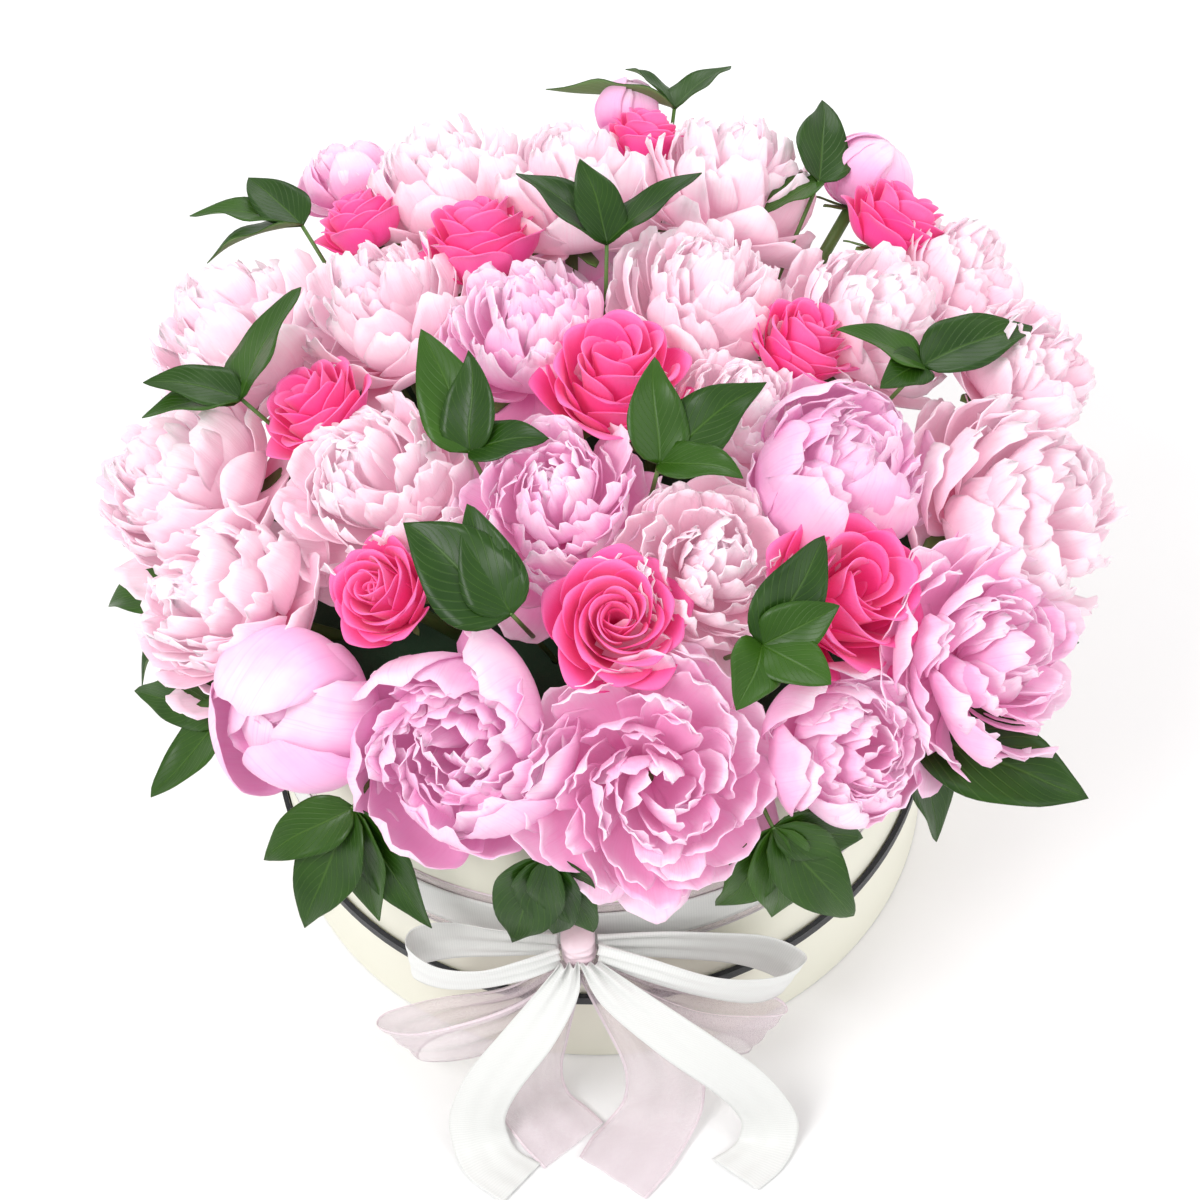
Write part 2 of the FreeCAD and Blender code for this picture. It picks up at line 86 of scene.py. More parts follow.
# Centre, axis and radius of every flower head in a CAD node.
def headsOf(nodeName):
    mesh = bmesh.new()
    mesh.from_mesh(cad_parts[nodeName].data)
    bmesh.ops.remove_doubles(mesh, verts=mesh.verts, dist=1e-6)
    root = np.array(stemRoot)
    left = dict.fromkeys(mesh.verts)
    heads = []
    while left:
        edge = [next(iter(left))]
        left.pop(edge[0])
        island = list(edge)
        while edge:
            vert = edge.pop()
            for link in vert.link_edges:
                other = link.other_vert(vert)
                if other in left:
                    left.pop(other)
                    edge.append(other)
                    island.append(other)
        away = np.array([v.co[:] for v in island]) - root
        far = away[np.argmax(np.linalg.norm(away, axis=1))]
        axis = far / np.linalg.norm(far)
        along = away @ axis
        off = np.linalg.norm(away - along[:, None] * axis, axis=1)
        wide = np.argmax(off)
        heads.append({
            "centre": Vector(root + axis * along[wide]),
            "axis": Vector(axis),
            "across": float(off[wide]),
            "foot": Vector(root + axis * along.min()),
        })
    mesh.free()
    heads.sort(key=lambda head: (round(head["centre"].x, 4), round(head["centre"].y, 4)))
    return heads


def polarPoint(turn, reach, level):
    angle = deg(turn)
    return Vector((reach * math.sin(angle), -reach * math.cos(angle), level))


def newObject(name, mesh):
    made = bpy.data.objects.new(name, mesh)
    scene.collection.objects.link(made)
    return made


# A plain mesh object of the source with its modifiers applied; the source is removed.
def finished(source, name):
    bpy.context.view_layer.update()
    graph = bpy.context.evaluated_depsgraph_get()
    mesh = bpy.data.meshes.new_from_object(source.evaluated_get(graph))
    mesh.name = name
    bpy.data.objects.remove(source)
    return newObject(name, mesh)


# Several mesh objects as one, with their materials kept.
def joined(parts, name):
    with bpy.context.temp_override(
        active_object=parts[0], object=parts[0],
        selected_objects=parts, selected_editable_objects=parts,
    ):
        bpy.ops.object.join()
    parts[0].name = name
    parts[0].data.name = name
    return parts[0]


# A sheet of quads from a rows x cols array of points, with its UV map and attributes.
def gridMesh(name, points, coords, attributes=None):
    rows, cols = points.shape[:2]
    index = np.arange(rows * cols).reshape(rows, cols)
    quads = np.stack([index[:-1, :-1], index[:-1, 1:], index[1:, 1:], index[1:, :-1]], -1)
    quads = quads.reshape(-1, 4)
    mesh = bpy.data.meshes.new(name)
    mesh.from_pydata(points.reshape(-1, 3).tolist(), [], quads.tolist())
    layer = mesh.uv_layers.new(name="UVMap")
    layer.data.foreach_set("uv", coords.reshape(-1, 2)[quads.ravel()].ravel())
    for key, values in (attributes or {}).items():
        kept = mesh.attributes.new(key, "FLOAT", "POINT")
        kept.data.foreach_set("value", values.astype(np.float32).ravel())
    mesh.polygons.foreach_set("use_smooth", [True] * len(quads))
    mesh.update()
    return mesh


# A closed tube through rings of points that run anticlockwise seen from the tube's end.
def tubeObject(name, rings, material):
    index = np.arange(rings.shape[0] * rings.shape[1]).reshape(rings.shape[:2])
    after = np.roll(index, -1, axis=1)
    faces = np.stack([index[:-1], after[:-1], after[1:], index[1:]], -1).reshape(-1, 4).tolist()
    faces += [index[0, ::-1].tolist(), index[-1].tolist()]
    mesh = bpy.data.meshes.new(name)
    mesh.from_pydata(rings.reshape(-1, 3).tolist(), [], faces)
    mesh.polygons.foreach_set("use_smooth", [True] * len(faces))
    mesh.materials.append(material)
    return newObject(name, mesh)


# A ring of points round a spot, from one direction towards the other.
def ringAround(spot, side, other, radius, count):
    angles = [2 * math.pi * k / count for k in range(count)]
    return [(spot + (side * math.cos(a) + other * math.sin(a)) * radius)[:] for a in angles]


# Parameters along and across a petal or leaf, across running from start to -start.
def sheetGrid(rows, cols, start):
    t = np.linspace(0, 1, rows)[:, None] * np.ones((1, cols))
    u = np.ones((rows, 1)) * np.linspace(start, -start, cols)[None, :]
    return t, u


def bezier(ends, steps):
    a, b, c, d = (np.array(point, float) for point in ends)
    t = steps[:, None]
    return a * (1 - t) ** 3 + 3 * b * t * (1 - t) ** 2 + 3 * c * t * t * (1 - t) + d * t ** 3


def smoothStep(low, high, x):
    t = np.clip((x - low) / (high - low), 0, 1)
    return t * t * (3 - 2 * t)


# A Catmull-Rom line through the points.
def smoothRun(points, steps):
    rows = np.array([list(p) for p in points], float)
    rows = np.vstack([2 * rows[0] - rows[1], rows, 2 * rows[-1] - rows[-2]])
    out = []
    for i in range(1, len(rows) - 2):
        a, b, c, d = rows[i - 1:i + 3]
        for t in np.linspace(0, 1, steps, endpoint=False):
            out.append(0.5 * (2 * b + (c - a) * t + (2 * a - 5 * b + 4 * c - d) * t ** 2
                              + (3 * b - a - 3 * c + d) * t ** 3))
    out.append(rows[-2])
    return np.array(out)


def addSolidify(piece, thickness, offset=0.0):
    wall = piece.modifiers.new("thickness", "SOLIDIFY")
    wall.thickness = thickness
    wall.offset = offset
    wall.use_even_offset = False
    return wall


# Rides on its body and stands in for its CAD node, which it hides. The slot argument is not used.
def place(piece, body, node, slot):
    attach(piece, body)
    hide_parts(node)


# A socket is linked, anything else becomes the input's own value.
def feed(tree, target, value):
    if isinstance(value, bpy.types.NodeSocket):
        tree.links.new(value, target)
    else:
        short = target.type == "RGBA" and len(value) == 3
        target.default_value = (*value, 1) if short else value


def addNode(tree, kind, inputs, **settings):
    node = tree.nodes.new(kind)
    for label, value in settings.items():
        setattr(node, label, value)
    for label, value in inputs.items():
        feed(tree, node.inputs[label], value)
    return node


def mathNode(tree, kind, *values, clamp=False):
    return addNode(tree, "ShaderNodeMath", dict(enumerate(values)), operation=kind, use_clamp=clamp).outputs[0]


def mixColour(tree, amount, first, second):
    return addNode(tree, "ShaderNodeMix", {0: amount, 6: first, 7: second}, data_type="RGBA").outputs[2]


# 0 below low, 1 above high, smooth between.
def stepBetween(tree, value, low, high):
    inputs = {"Value": value, "From Min": low, "From Max": high}
    return addNode(tree, "ShaderNodeMapRange", inputs, interpolation_type="SMOOTHSTEP").outputs["Result"]


def noiseNode(tree, vector, scale, detail, roughness=0.5, fourth=None, output="Fac"):
    inputs = {"Scale": scale, "Detail": detail, "Roughness": roughness, "Vector": vector, "W": fourth}
    inputs = {label: value for label, value in inputs.items() if value is not None}
    space = "3D" if fourth is None else "4D"
    return addNode(tree, "ShaderNodeTexNoise", inputs, noise_dimensions=space).outputs[output]


# The object coordinates, and the UV map's own across and along.
def coordinates(tree):
    coord = tree.nodes.new("ShaderNodeTexCoord")
    split = addNode(tree, "ShaderNodeSeparateXYZ", {0: coord.outputs["UV"]})
    return coord, split.outputs["X"], split.outputs["Y"]


def fromMiddle(tree, across):
    return mathNode(tree, "ABSOLUTE", mathNode(tree, "SUBTRACT", across, 0.5))


# An empty node group with its sockets; returns the tree and its ends.
def newGroup(name, inputs, outputs, kind="ShaderNodeTree"):
    tree = bpy.data.node_groups.new(name, kind)
    for way, sockets in (("INPUT", inputs), ("OUTPUT", outputs)):
        for label, socketKind, *value in sockets:
            made = tree.interface.new_socket(name=label, in_out=way, socket_type="NodeSocket" + socketKind)
            if value:
                made.default_value = value[0]
    return tree, tree.nodes.new("NodeGroupInput"), tree.nodes.new("NodeGroupOutput")


# Colour along a petal from heart to tip, with veins, and a height for its creases.
def makePetalGroup():
    tree, enter, leave = newGroup("petalTone", [
        ("Heart", "Color", (0.8, 0.1, 0.3, 1)),
        ("Body", "Color", (0.9, 0.5, 0.7, 1)),
        ("Tip", "Color", (0.95, 0.8, 0.85, 1)),
        ("Flush", "Color", (0.9, 0.4, 0.6, 1)),
        ("Heart End", "Float", 0.45),
        ("Flush Share", "Float", 0.4),
        ("Vein Strength", "Float", 0.25),
    ], [("Colour", "Color"), ("Height", "Float")])
    given = enter.outputs
    coord, across, along = coordinates(tree)
    tone = addNode(tree, "ShaderNodeAttribute", {}, attribute_name="petalTone").outputs["Fac"]
    shift = mathNode(tree, "MULTIPLY_ADD", tone, 0.3, -0.15)
    patch = noiseNode(tree, coord.outputs["Object"], 55.0, 3.0)
    blotch = mathNode(tree, "MULTIPLY_ADD", patch, 0.5, -0.25)
    place = mathNode(tree, "ADD", mathNode(tree, "ADD", along, shift), blotch)
    heartMask = mathNode(tree, "DIVIDE", place, given["Heart End"], clamp=True)
    heartMask = stepBetween(tree, heartMask, 0.15, 1.0)
    tipMask = stepBetween(tree, place, 0.55, 1.05)
    flushAmount = mathNode(tree, "MULTIPLY", mathNode(tree, "POWER", tone, 1.6), given["Flush Share"])
    colour = mixColour(tree, flushAmount, given["Body"], given["Flush"])
    colour = mixColour(tree, tipMask, colour, given["Tip"])
    colour = mixColour(tree, heartMask, given["Heart"], colour)
    lines = addNode(tree, "ShaderNodeMapping", {"Scale": (34.0, 2.2, 1.0), "Vector": coord.outputs["UV"]})
    vein = noiseNode(tree, lines.outputs["Vector"], 1.0, 3.0, 0.6, fourth=mathNode(tree, "MULTIPLY", tone, 50.0))
    veinAmount = mathNode(tree, "MULTIPLY", stepBetween(tree, vein, 0.48, 0.72), given["Vein Strength"])
    colour = mixColour(tree, veinAmount, colour, given["Flush"])
    tree.links.new(colour, leave.inputs["Colour"])
    tree.links.new(vein, leave.inputs["Height"])
    return tree


# Fine paper or board grain on object coordinates: a tone and a height.
def makeGrainGroup():
    tree, enter, leave = newGroup("boardGrain", [
        ("Fine Scale", "Float", 900.0),
        ("Cloud Scale", "Float", 9.0),
    ], [("Cloud", "Float"), ("Height", "Float")])
    spot = tree.nodes.new("ShaderNodeTexCoord").outputs["Object"]
    tree.links.new(noiseNode(tree, spot, enter.outputs["Fine Scale"], 4.0, 0.7), leave.inputs["Height"])
    tree.links.new(noiseNode(tree, spot, enter.outputs["Cloud Scale"], 3.0), leave.inputs["Cloud"])
    return tree


# Crossing threads on the UV map, in threads across and along: a thread mask, a height, and a mask of scattered
# specks for painted glints.
def makeWeaveGroup():
    tree, enter, leave = newGroup("threadWeave", [
        ("Across", "Float", 90.0),
        ("Along", "Float", 600.0),
        ("Slub", "Float", 0.3),
    ], [("Thread", "Float"), ("Height", "Float"), ("Glint", "Float")])
    coord, across, along = coordinates(tree)
    waves = []
    for place, label in ((across, "Across"), (along, "Along")):
        turns = mathNode(tree, "MULTIPLY", place, enter.outputs[label])
        wave = mathNode(tree, "SINE", mathNode(tree, "MULTIPLY", turns, 2 * math.pi))
        waves.append(mathNode(tree, "MULTIPLY_ADD", wave, 0.5, 0.5))
    cross = mathNode(tree, "MAXIMUM", *waves)
    slub = mathNode(tree, "SUBTRACT", noiseNode(tree, coord.outputs["Object"], 1600.0, 2.0), 0.5)
    uneven = mathNode(tree, "MULTIPLY", slub, enter.outputs["Slub"])
    # Painted glints: scattered specks where the threads would catch the light.
    paintedGlint = noiseNode(tree, coord.outputs["Object"], 1100.0, 1.0)
    tree.links.new(mathNode(tree, "ADD", cross, uneven, clamp=True), leave.inputs["Thread"])
    tree.links.new(cross, leave.inputs["Height"])
    tree.links.new(stepBetween(tree, paintedGlint, 0.6, 0.75), leave.inputs["Glint"])
    return tree


petalGroup = makePetalGroup()
grainGroup = makeGrainGroup()
weaveGroup = makeWeaveGroup()


# A material with one Principled shader; fixed values go on its own sockets.
def newMaterial(name, **fixed):
    material = bpy.data.materials.new(name)
    material.use_nodes = True
    tree = material.node_tree
    shader = tree.nodes["Principled BSDF"]
    for label, value in fixed.items():
        feed(tree, shader.inputs[label.replace("_", " ")], value)
    return material, tree, shader


def useGroup(tree, group, **values):
    inputs = {label.replace("_", " "): value for label, value in values.items()}
    return addNode(tree, "ShaderNodeGroup", inputs, node_tree=group)


def addBump(tree, shader, height, strength, distance):
    bump = addNode(tree, "ShaderNodeBump", {"Strength": strength, "Distance": distance, "Height": height})
    tree.links.new(bump.outputs["Normal"], shader.inputs["Normal"])


# A matt or sheeny stuff between two colours, with fine grain for its bump.
def makeGrainMaterial(name, low, high, fine, cloud, bump, depth=0.0004, **fixed):
    material, tree, shader = newMaterial(name, **fixed)
    grain = useGroup(tree, grainGroup, Fine_Scale=fine, Cloud_Scale=cloud)
    tree.links.new(mixColour(tree, grain.outputs["Cloud"], low, high), shader.inputs["Base Color"])
    addBump(tree, shader, grain.outputs["Height"], bump, depth)
    return material


petalColours = {
    # heart, body, tip, flush (linear RGB), heart end, flush share, veins
    "blush": ((0.84, 0.26, 0.44), (0.93, 0.63, 0.74), (0.965, 0.82, 0.885), (0.92, 0.42, 0.60), 0.4, 0.34, 0.16),
    "pink": ((0.80, 0.17, 0.47), (0.93, 0.48, 0.72), (0.96, 0.74, 0.87), (0.90, 0.31, 0.60), 0.42, 0.45, 0.22),
    "lilac": ((0.76, 0.16, 0.46), (0.90, 0.46, 0.71), (0.945, 0.68, 0.83), (0.85, 0.28, 0.60), 0.4, 0.4, 0.28),
    "rose": ((0.64, 0.004, 0.11), (0.92, 0.07, 0.33), (0.96, 0.18, 0.46), (0.94, 0.10, 0.37), 0.45, 0.5, 0.1),
}
# Painted glow: the petals emit their own colour at this strength, standing in for light that a thin petal lets
# through from its other side.
paintedPetalGlow = 0.09


def makePetalMaterial(name, heart, body, tip, flush, heartEnd, share, veins):
    material, tree, shader = newMaterial(
        name + "Petal", Roughness=0.55, Specular_IOR_Level=0.3, Sheen_Weight=0.25, Sheen_Roughness=0.4,
        Subsurface_Weight=0.12, Subsurface_Scale=0.004, Subsurface_Radius=(1.0, 0.45, 0.5),
        Emission_Strength=paintedPetalGlow)
    tones = useGroup(tree, petalGroup, Heart=heart, Body=body, Tip=tip, Flush=flush,
                     Heart_End=heartEnd, Flush_Share=share, Vein_Strength=veins)
    tree.links.new(tones.outputs["Colour"], shader.inputs["Base Color"])
    # Painted glow: the petal's colour also drives its emission.
    tree.links.new(tones.outputs["Colour"], shader.inputs["Emission Color"])
    addBump(tree, shader, tones.outputs["Height"], 0.35, 0.0006)
    return material


petalMaterials = {name: makePetalMaterial(name, *look) for name, look in petalColours.items()}
stemMaterial = makeGrainMaterial("greenStem", (0.05, 0.14, 0.02), (0.14, 0.26, 0.06),
                                 500.0, 60.0, 0.2, 0.0003, Roughness=0.5)

# A petal's meridian is four (out, up) Bezier points from the receptacle, in units of the
# flower's radius. wide is its half width, fullAt where along it is widest, claw its width
# at the base, blunt how far the corners drop, overlap how one side tucks under the next,
# cup the least radius its cross-section is bent to, notch the depth of the cuts in its tip.
petalShapes = {
    "guard": dict(run=((0.05, 0.0), (0.66, -0.1), (1.08, 0.2), (1.0, 0.72)), wide=0.5, fullAt=0.6,
                  claw=0.3, blunt=0.42, overlap=0.22, cup=0.62, notch=0.05, frill=0.03, rows=14, cols=13),
    "skirt": dict(run=((0.05, 0.0), (0.7, -0.22), (1.12, -0.12), (1.34, 0.2)), wide=0.52, fullAt=0.66,
                  claw=0.28, blunt=0.42, overlap=0.2, cup=0.8, notch=0.05, frill=0.035, rows=14, cols=13),
    "fluff": dict(run=((0.05, 0.02), (0.6, 0.0), (0.98, 0.5), (0.7, 1.12)), wide=0.38, fullAt=0.72,
                  claw=0.3, blunt=0.34, overlap=0.26, cup=0.45, notch=0.09, frill=0.03, rows=12, cols=13),
    "tuft": dict(run=((0.04, 0.04), (0.3, 0.2), (0.6, 0.85), (0.34, 1.28)), wide=0.27, fullAt=0.76,
                 claw=0.35, blunt=0.3, overlap=0.3, cup=0.26, notch=0.12, frill=0.025, rows=10, cols=10),
    "hood": dict(run=((0.05, 0.0), (0.98, -0.1), (1.22, 0.78), (0.58, 1.3)), wide=0.6, fullAt=0.58,
                 claw=0.3, blunt=0.34, overlap=0.22, cup=0.7, notch=0.05, frill=0.02, rows=15, cols=14),
    "shell": dict(run=((0.05, 0.02), (0.8, 0.0), (1.02, 0.85), (0.42, 1.32)), wide=0.46, fullAt=0.64,
                  claw=0.3, blunt=0.32, overlap=0.25, cup=0.5, notch=0.08, frill=0.025, rows=13, cols=13),
    "ball": dict(run=((0.05, 0.0), (1.12, -0.1), (1.25, 1.15), (0.06, 1.52)), wide=0.72, fullAt=0.5,
                 claw=0.25, blunt=0.24, overlap=0.16, cup=0.85, notch=0.03, frill=0.0, rows=18, cols=15),
    "roseOuter": dict(run=((0.05, 0.0), (1.02, -0.05), (0.86, 0.85), (1.24, 0.92)), wide=0.8, fullAt=0.58,
                      claw=0.3, blunt=0.36, overlap=0.24, cup=0.8, notch=-0.04, frill=0.0, rows=17, cols=17),
    "roseMiddle": dict(run=((0.05, 0.0), (0.92, 0.0), (0.68, 1.1), (0.98, 1.14)), wide=0.7, fullAt=0.56,
                       claw=0.3, blunt=0.34, overlap=0.26, cup=0.6, notch=-0.03, frill=0.0, rows=16, cols=16),
    "roseInner": dict(run=((0.04, 0.0), (0.68, 0.05), (0.46, 1.2), (0.66, 1.34)), wide=0.56, fullAt=0.56,
                      claw=0.3, blunt=0.3, overlap=0.3, cup=0.4, notch=0.0, frill=0.0, rows=14, cols=14),
    "roseHeart": dict(run=((0.03, 0.0), (0.4, 0.1), (0.26, 1.2), (0.36, 1.46)), wide=0.42, fullAt=0.56,
                      claw=0.3, blunt=0.24, overlap=0.32, cup=0.22, notch=0.0, frill=0.0, rows=13, cols=13),
    "sepal": dict(run=((0.04, -0.02), (0.4, -0.14), (0.62, -0.05), (0.8, -0.12)), wide=0.15, fullAt=0.45,
                  claw=0.5, blunt=0.85, overlap=0.0, cup=0.5, notch=0.0, frill=0.0, rows=8, cols=5),
}


# One petal as a sheet, in metres, growing from the origin along +X and up +Z.
def petalObject(shapeName, radius):
    shape = petalShapes[shapeName]
    rows, cols = shape["rows"], shape["cols"]
    t, u = sheetGrid(rows, cols, -1)
    teeth = 0.5 + 0.3 * np.sin(4.7 * u + 1.3) + 0.2 * np.sin(9.5 * u + 0.4)
    v = t * (1 - shape["blunt"] * np.abs(u) ** 2.3 - shape["notch"] * teeth)
    run = bezier(shape["run"], v.ravel()).reshape(rows, cols, 2)
    out, up = run[..., 0], run[..., 1]
    swell = smoothStep(0, shape["fullAt"], v)
    width = shape["wide"] * (shape["claw"] + (1 - shape["claw"]) * swell)
    width = width * (1 - 0.12 * smoothStep(shape["fullAt"], 1.1, v))
    x = u * width
    bend = np.maximum(out, shape["cup"])
    angle = x / bend
    wave = shape["frill"] * np.sin(u * 9.0 + 1.0) * smoothStep(0.55, 1.0, v)
    radial = out - bend * (1 - np.cos(angle)) + shape["overlap"] * x * smoothStep(0.1, 0.6, v) + wave
    points = np.stack([radial, bend * np.sin(angle), up + wave * 0.5], -1) * radius
    coords = np.stack([u * 0.5 + 0.5, v], -1)
    edge = smoothStep(0.35, 1.0, v) * (0.35 + 0.65 * smoothStep(0.2, 1.0, np.maximum(np.abs(u), v)))
    mesh = gridMesh("petal_" + shapeName, points, coords, {"petalEdge": edge})
    return newObject("petal_" + shapeName, mesh)


def ownValue(tree, name, kind="FLOAT"):
    return addNode(tree, "GeometryNodeInputNamedAttribute", {"Name": name}, data_type=kind).outputs[0]


def randomBetween(tree, low, high, seed):
    inputs = {2: low, 3: high, "Seed": seed}
    return addNode(tree, "FunctionNodeRandomValue", inputs, data_type="FLOAT").outputs[1]


# The object input's mesh, once on every point.
def spreadOn(tree, points, source, turn, size):
    info = addNode(tree, "GeometryNodeObjectInfo", {"Object": source})
    return addNode(tree, "GeometryNodeInstanceOnPoints", {
        "Points": points, "Instance": info.outputs["Geometry"], "Rotation": turn, "Scale": size}).outputs[0]


# Keeps a random tone on each instance, makes them real, shifts them by the noise where
# their edge value is high, and gives them their finish.
def settle(tree, enter, leave, instances, tone, kept, edge, noise, strength):
    toned = addNode(tree, "GeometryNodeStoreNamedAttribute",
                    {"Geometry": instances, "Name": kept, "Value": tone}, data_type="FLOAT", domain="INSTANCE")
    real = addNode(tree, "GeometryNodeRealizeInstances", {0: toned.outputs[0]})
    centred = addNode(tree, "ShaderNodeVectorMath", {0: noise, 1: (0.5, 0.5, 0.5)}, operation="SUBTRACT")
    amount = mathNode(tree, "MULTIPLY", ownValue(tree, edge), strength)
    shift = addNode(tree, "ShaderNodeVectorMath", {0: centred.outputs[0], "Scale": amount}, operation="SCALE")
    moved = addNode(tree, "GeometryNodeSetPosition", {"Geometry": real.outputs[0], "Offset": shift.outputs[0]})
    dressed = addNode(tree, "GeometryNodeSetMaterial",
                      {"Geometry": moved.outputs[0], "Material": enter.outputs["Finish"]})
    tree.links.new(dressed.outputs[0], leave.inputs["Geometry"])


# Petals set round a stem: turned by a step each, opened and shrunk from first to last.
def makeWhorlTree():
    tree, enter, leave = newGroup("petalWhorl", [
        ("Petal", "Object"), ("Count", "Int", 8), ("Step", "Float", 0.785), ("Start Turn", "Float", 0.0),
        ("Turn Spread", "Float", 0.1), ("First Tilt", "Float", 0.0), ("Last Tilt", "Float", 0.0),
        ("Tilt Spread", "Float", 0.1), ("First Size", "Float", 1.0), ("Last Size", "Float", 1.0),
        ("Size Spread", "Float", 0.08), ("Roll Spread", "Float", 0.08), ("Crumple", "Float", 0.002),
        ("Crumple Scale", "Float", 60.0), ("Seed", "Int", 1), ("Finish", "Material"),
    ], [("Geometry", "Geometry")], "GeometryNodeTree")
    given = enter.outputs
    points = addNode(tree, "GeometryNodePoints", {"Count": given["Count"]})
    index = tree.nodes.new("GeometryNodeInputIndex").outputs[0]
    last = mathNode(tree, "MAXIMUM", mathNode(tree, "SUBTRACT", given["Count"], 1.0), 1.0)
    share = mathNode(tree, "DIVIDE", index, last)

    def around(spread, offset):
        low = mathNode(tree, "MULTIPLY", given[spread], -1.0)
        return randomBetween(tree, low, given[spread], mathNode(tree, "ADD", given["Seed"], offset))

    def ramp(first, second):
        change = mathNode(tree, "SUBTRACT", given[second], given[first])
        return mathNode(tree, "MULTIPLY_ADD", change, share, given[first])

    turn = mathNode(tree, "MULTIPLY_ADD", index, given["Step"], given["Start Turn"])
    turn = mathNode(tree, "ADD", turn, around("Turn Spread", 11.0))
    tilt = mathNode(tree, "ADD", ramp("First Tilt", "Last Tilt"), around("Tilt Spread", 23.0))
    roll = around("Roll Spread", 37.0)
    size = mathNode(tree, "ADD", ramp("First Size", "Last Size"), around("Size Spread", 41.0))
    rotation = addNode(tree, "ShaderNodeCombineXYZ", {0: roll, 1: tilt, 2: turn})
    scale = addNode(tree, "ShaderNodeCombineXYZ", {0: size, 1: size, 2: size})
    petals = spreadOn(tree, points.outputs[0], given["Petal"], rotation.outputs[0], scale.outputs[0])
    tone = randomBetween(tree, 0.0, 1.0, mathNode(tree, "ADD", given["Seed"], 53.0))
    fourth = mathNode(tree, "MULTIPLY", ownValue(tree, "petalTone"), 37.0)
    noise = noiseNode(tree, None, given["Crumple Scale"], 1.5, fourth=fourth, output="Color")
    settle(tree, enter, leave, petals, tone, "petalTone", "petalEdge", noise, given["Crumple"])
    return tree


whorlTree = makeWhorlTree()


# Puts a Geometry Nodes tree on a piece and sets its inputs by their identifiers.
def useTree(piece, tree, values):
    modifier = piece.modifiers.new("nodes", "NODES")
    modifier.node_group = tree
    names = {item.name: item.identifier for item in tree.interface.items_tree if item.in_out == "INPUT"}
    for label, value in values.items():
        modifier[names[label]] = value


# One ring or spiral of petals as a plain closed mesh, in the flower's own place.
def whorl(name, shapeName, radius, finish, thickness, values):
    petal = petalObject(shapeName, radius)
    carrier = newObject(name, bpy.data.meshes.new(name))
    useTree(carrier, whorlTree, {"Petal": petal, "Finish": finish, **values})
    addSolidify(carrier, thickness)
    made = finished(carrier, name)
    mesh = petal.data
    bpy.data.objects.remove(petal)
    bpy.data.meshes.remove(mesh)
    return made


golden = deg(137.508)
# Each habit is a list of whorls, outermost first: petal shape, how many, the first and last
# petal's tilt in degrees, and their size. Tufts stand in a spiral, the rest in rings.
flowerHabits = {
    "full": [
        ("skirt", 7, (4, 4), (0.94, 0.94)),
        ("guard", 8, (8, 8), (1.0, 1.0)),
        ("fluff", 10, (16, 10), (1.0, 0.98)),
        ("fluff", 11, (2, -4), (0.94, 0.9)),
        ("tuft", 44, (26, -20), (1.02, 0.98)),
    ],
    "open": [
        ("skirt", 8, (0, 0), (1.0, 1.0)),
        ("guard", 9, (16, 12), (1.0, 0.98)),
        ("fluff", 11, (26, 16), (1.04, 0.98)),
        ("fluff", 10, (10, 0), (0.94, 0.84)),
        ("fluff", 8, (-4, -12), (0.8, 0.7)),
        ("tuft", 26, (26, -12), (0.9, 0.8)),
    ],
    "half": [
        ("guard", 5, (4, 4), (0.98, 0.98)),
        ("hood", 6, (6, 6), (1.0, 1.0)),
        ("shell", 9, (4, 0), (1.0, 0.94)),
        ("shell", 9, (-4, -6), (0.88, 0.82)),
        ("tuft", 34, (18, -18), (1.04, 1.0)),
    ],
    "bud": [
        ("ball", 5, (4, 4), (1.0, 1.0)),
        ("ball", 5, (0, 0), (0.95, 0.93)),
        ("shell", 8, (-6, -8), (0.9, 0.84)),
        ("tuft", 12, (4, -14), (1.08, 1.05)),
    ],
    "rose": [
        ("roseOuter", 5, (7, 7), (0.98, 0.98)),
        ("roseOuter", 5, (-4, -4), (0.95, 0.93)),
        ("roseMiddle", 5, (-1, -1), (1.02, 1.0)),
        ("roseInner", 5, (2, 1), (1.08, 1.05)),
        ("roseHeart", 5, (6, 3), (1.08, 1.04)),
        ("roseHeart", 4, (0, -3), (0.9, 0.84)),
        ("roseHeart", 3, (0, 0), (0.66, 0.6)),
    ],
}
# How far the receptacle sits below the head's centre, in radii.
seatBelow = {"full": 0.62, "open": 0.5, "half": 0.72, "bud": 0.78, "rose": 0.85}
# How freely petals fall: ring is the turn from whorl to whorl, crumple is in radii.
looseFall = dict(ring=0.4, turn=0.22, tilt=9.0, size=0.1, roll=0.2, crumple=0.4, scale=1.35)
petalFall = {
    "full": looseFall, "open": looseFall, "half": looseFall,
    "bud": dict(looseFall, roll=0.06, crumple=0.16),
    "rose": dict(ring=0.63, turn=0.05, tilt=2.0, size=0.03, roll=0.02, crumple=0.1, scale=0.9),
}
petalThickness = {"petal": 0.00045, "sepal": 0.0008}


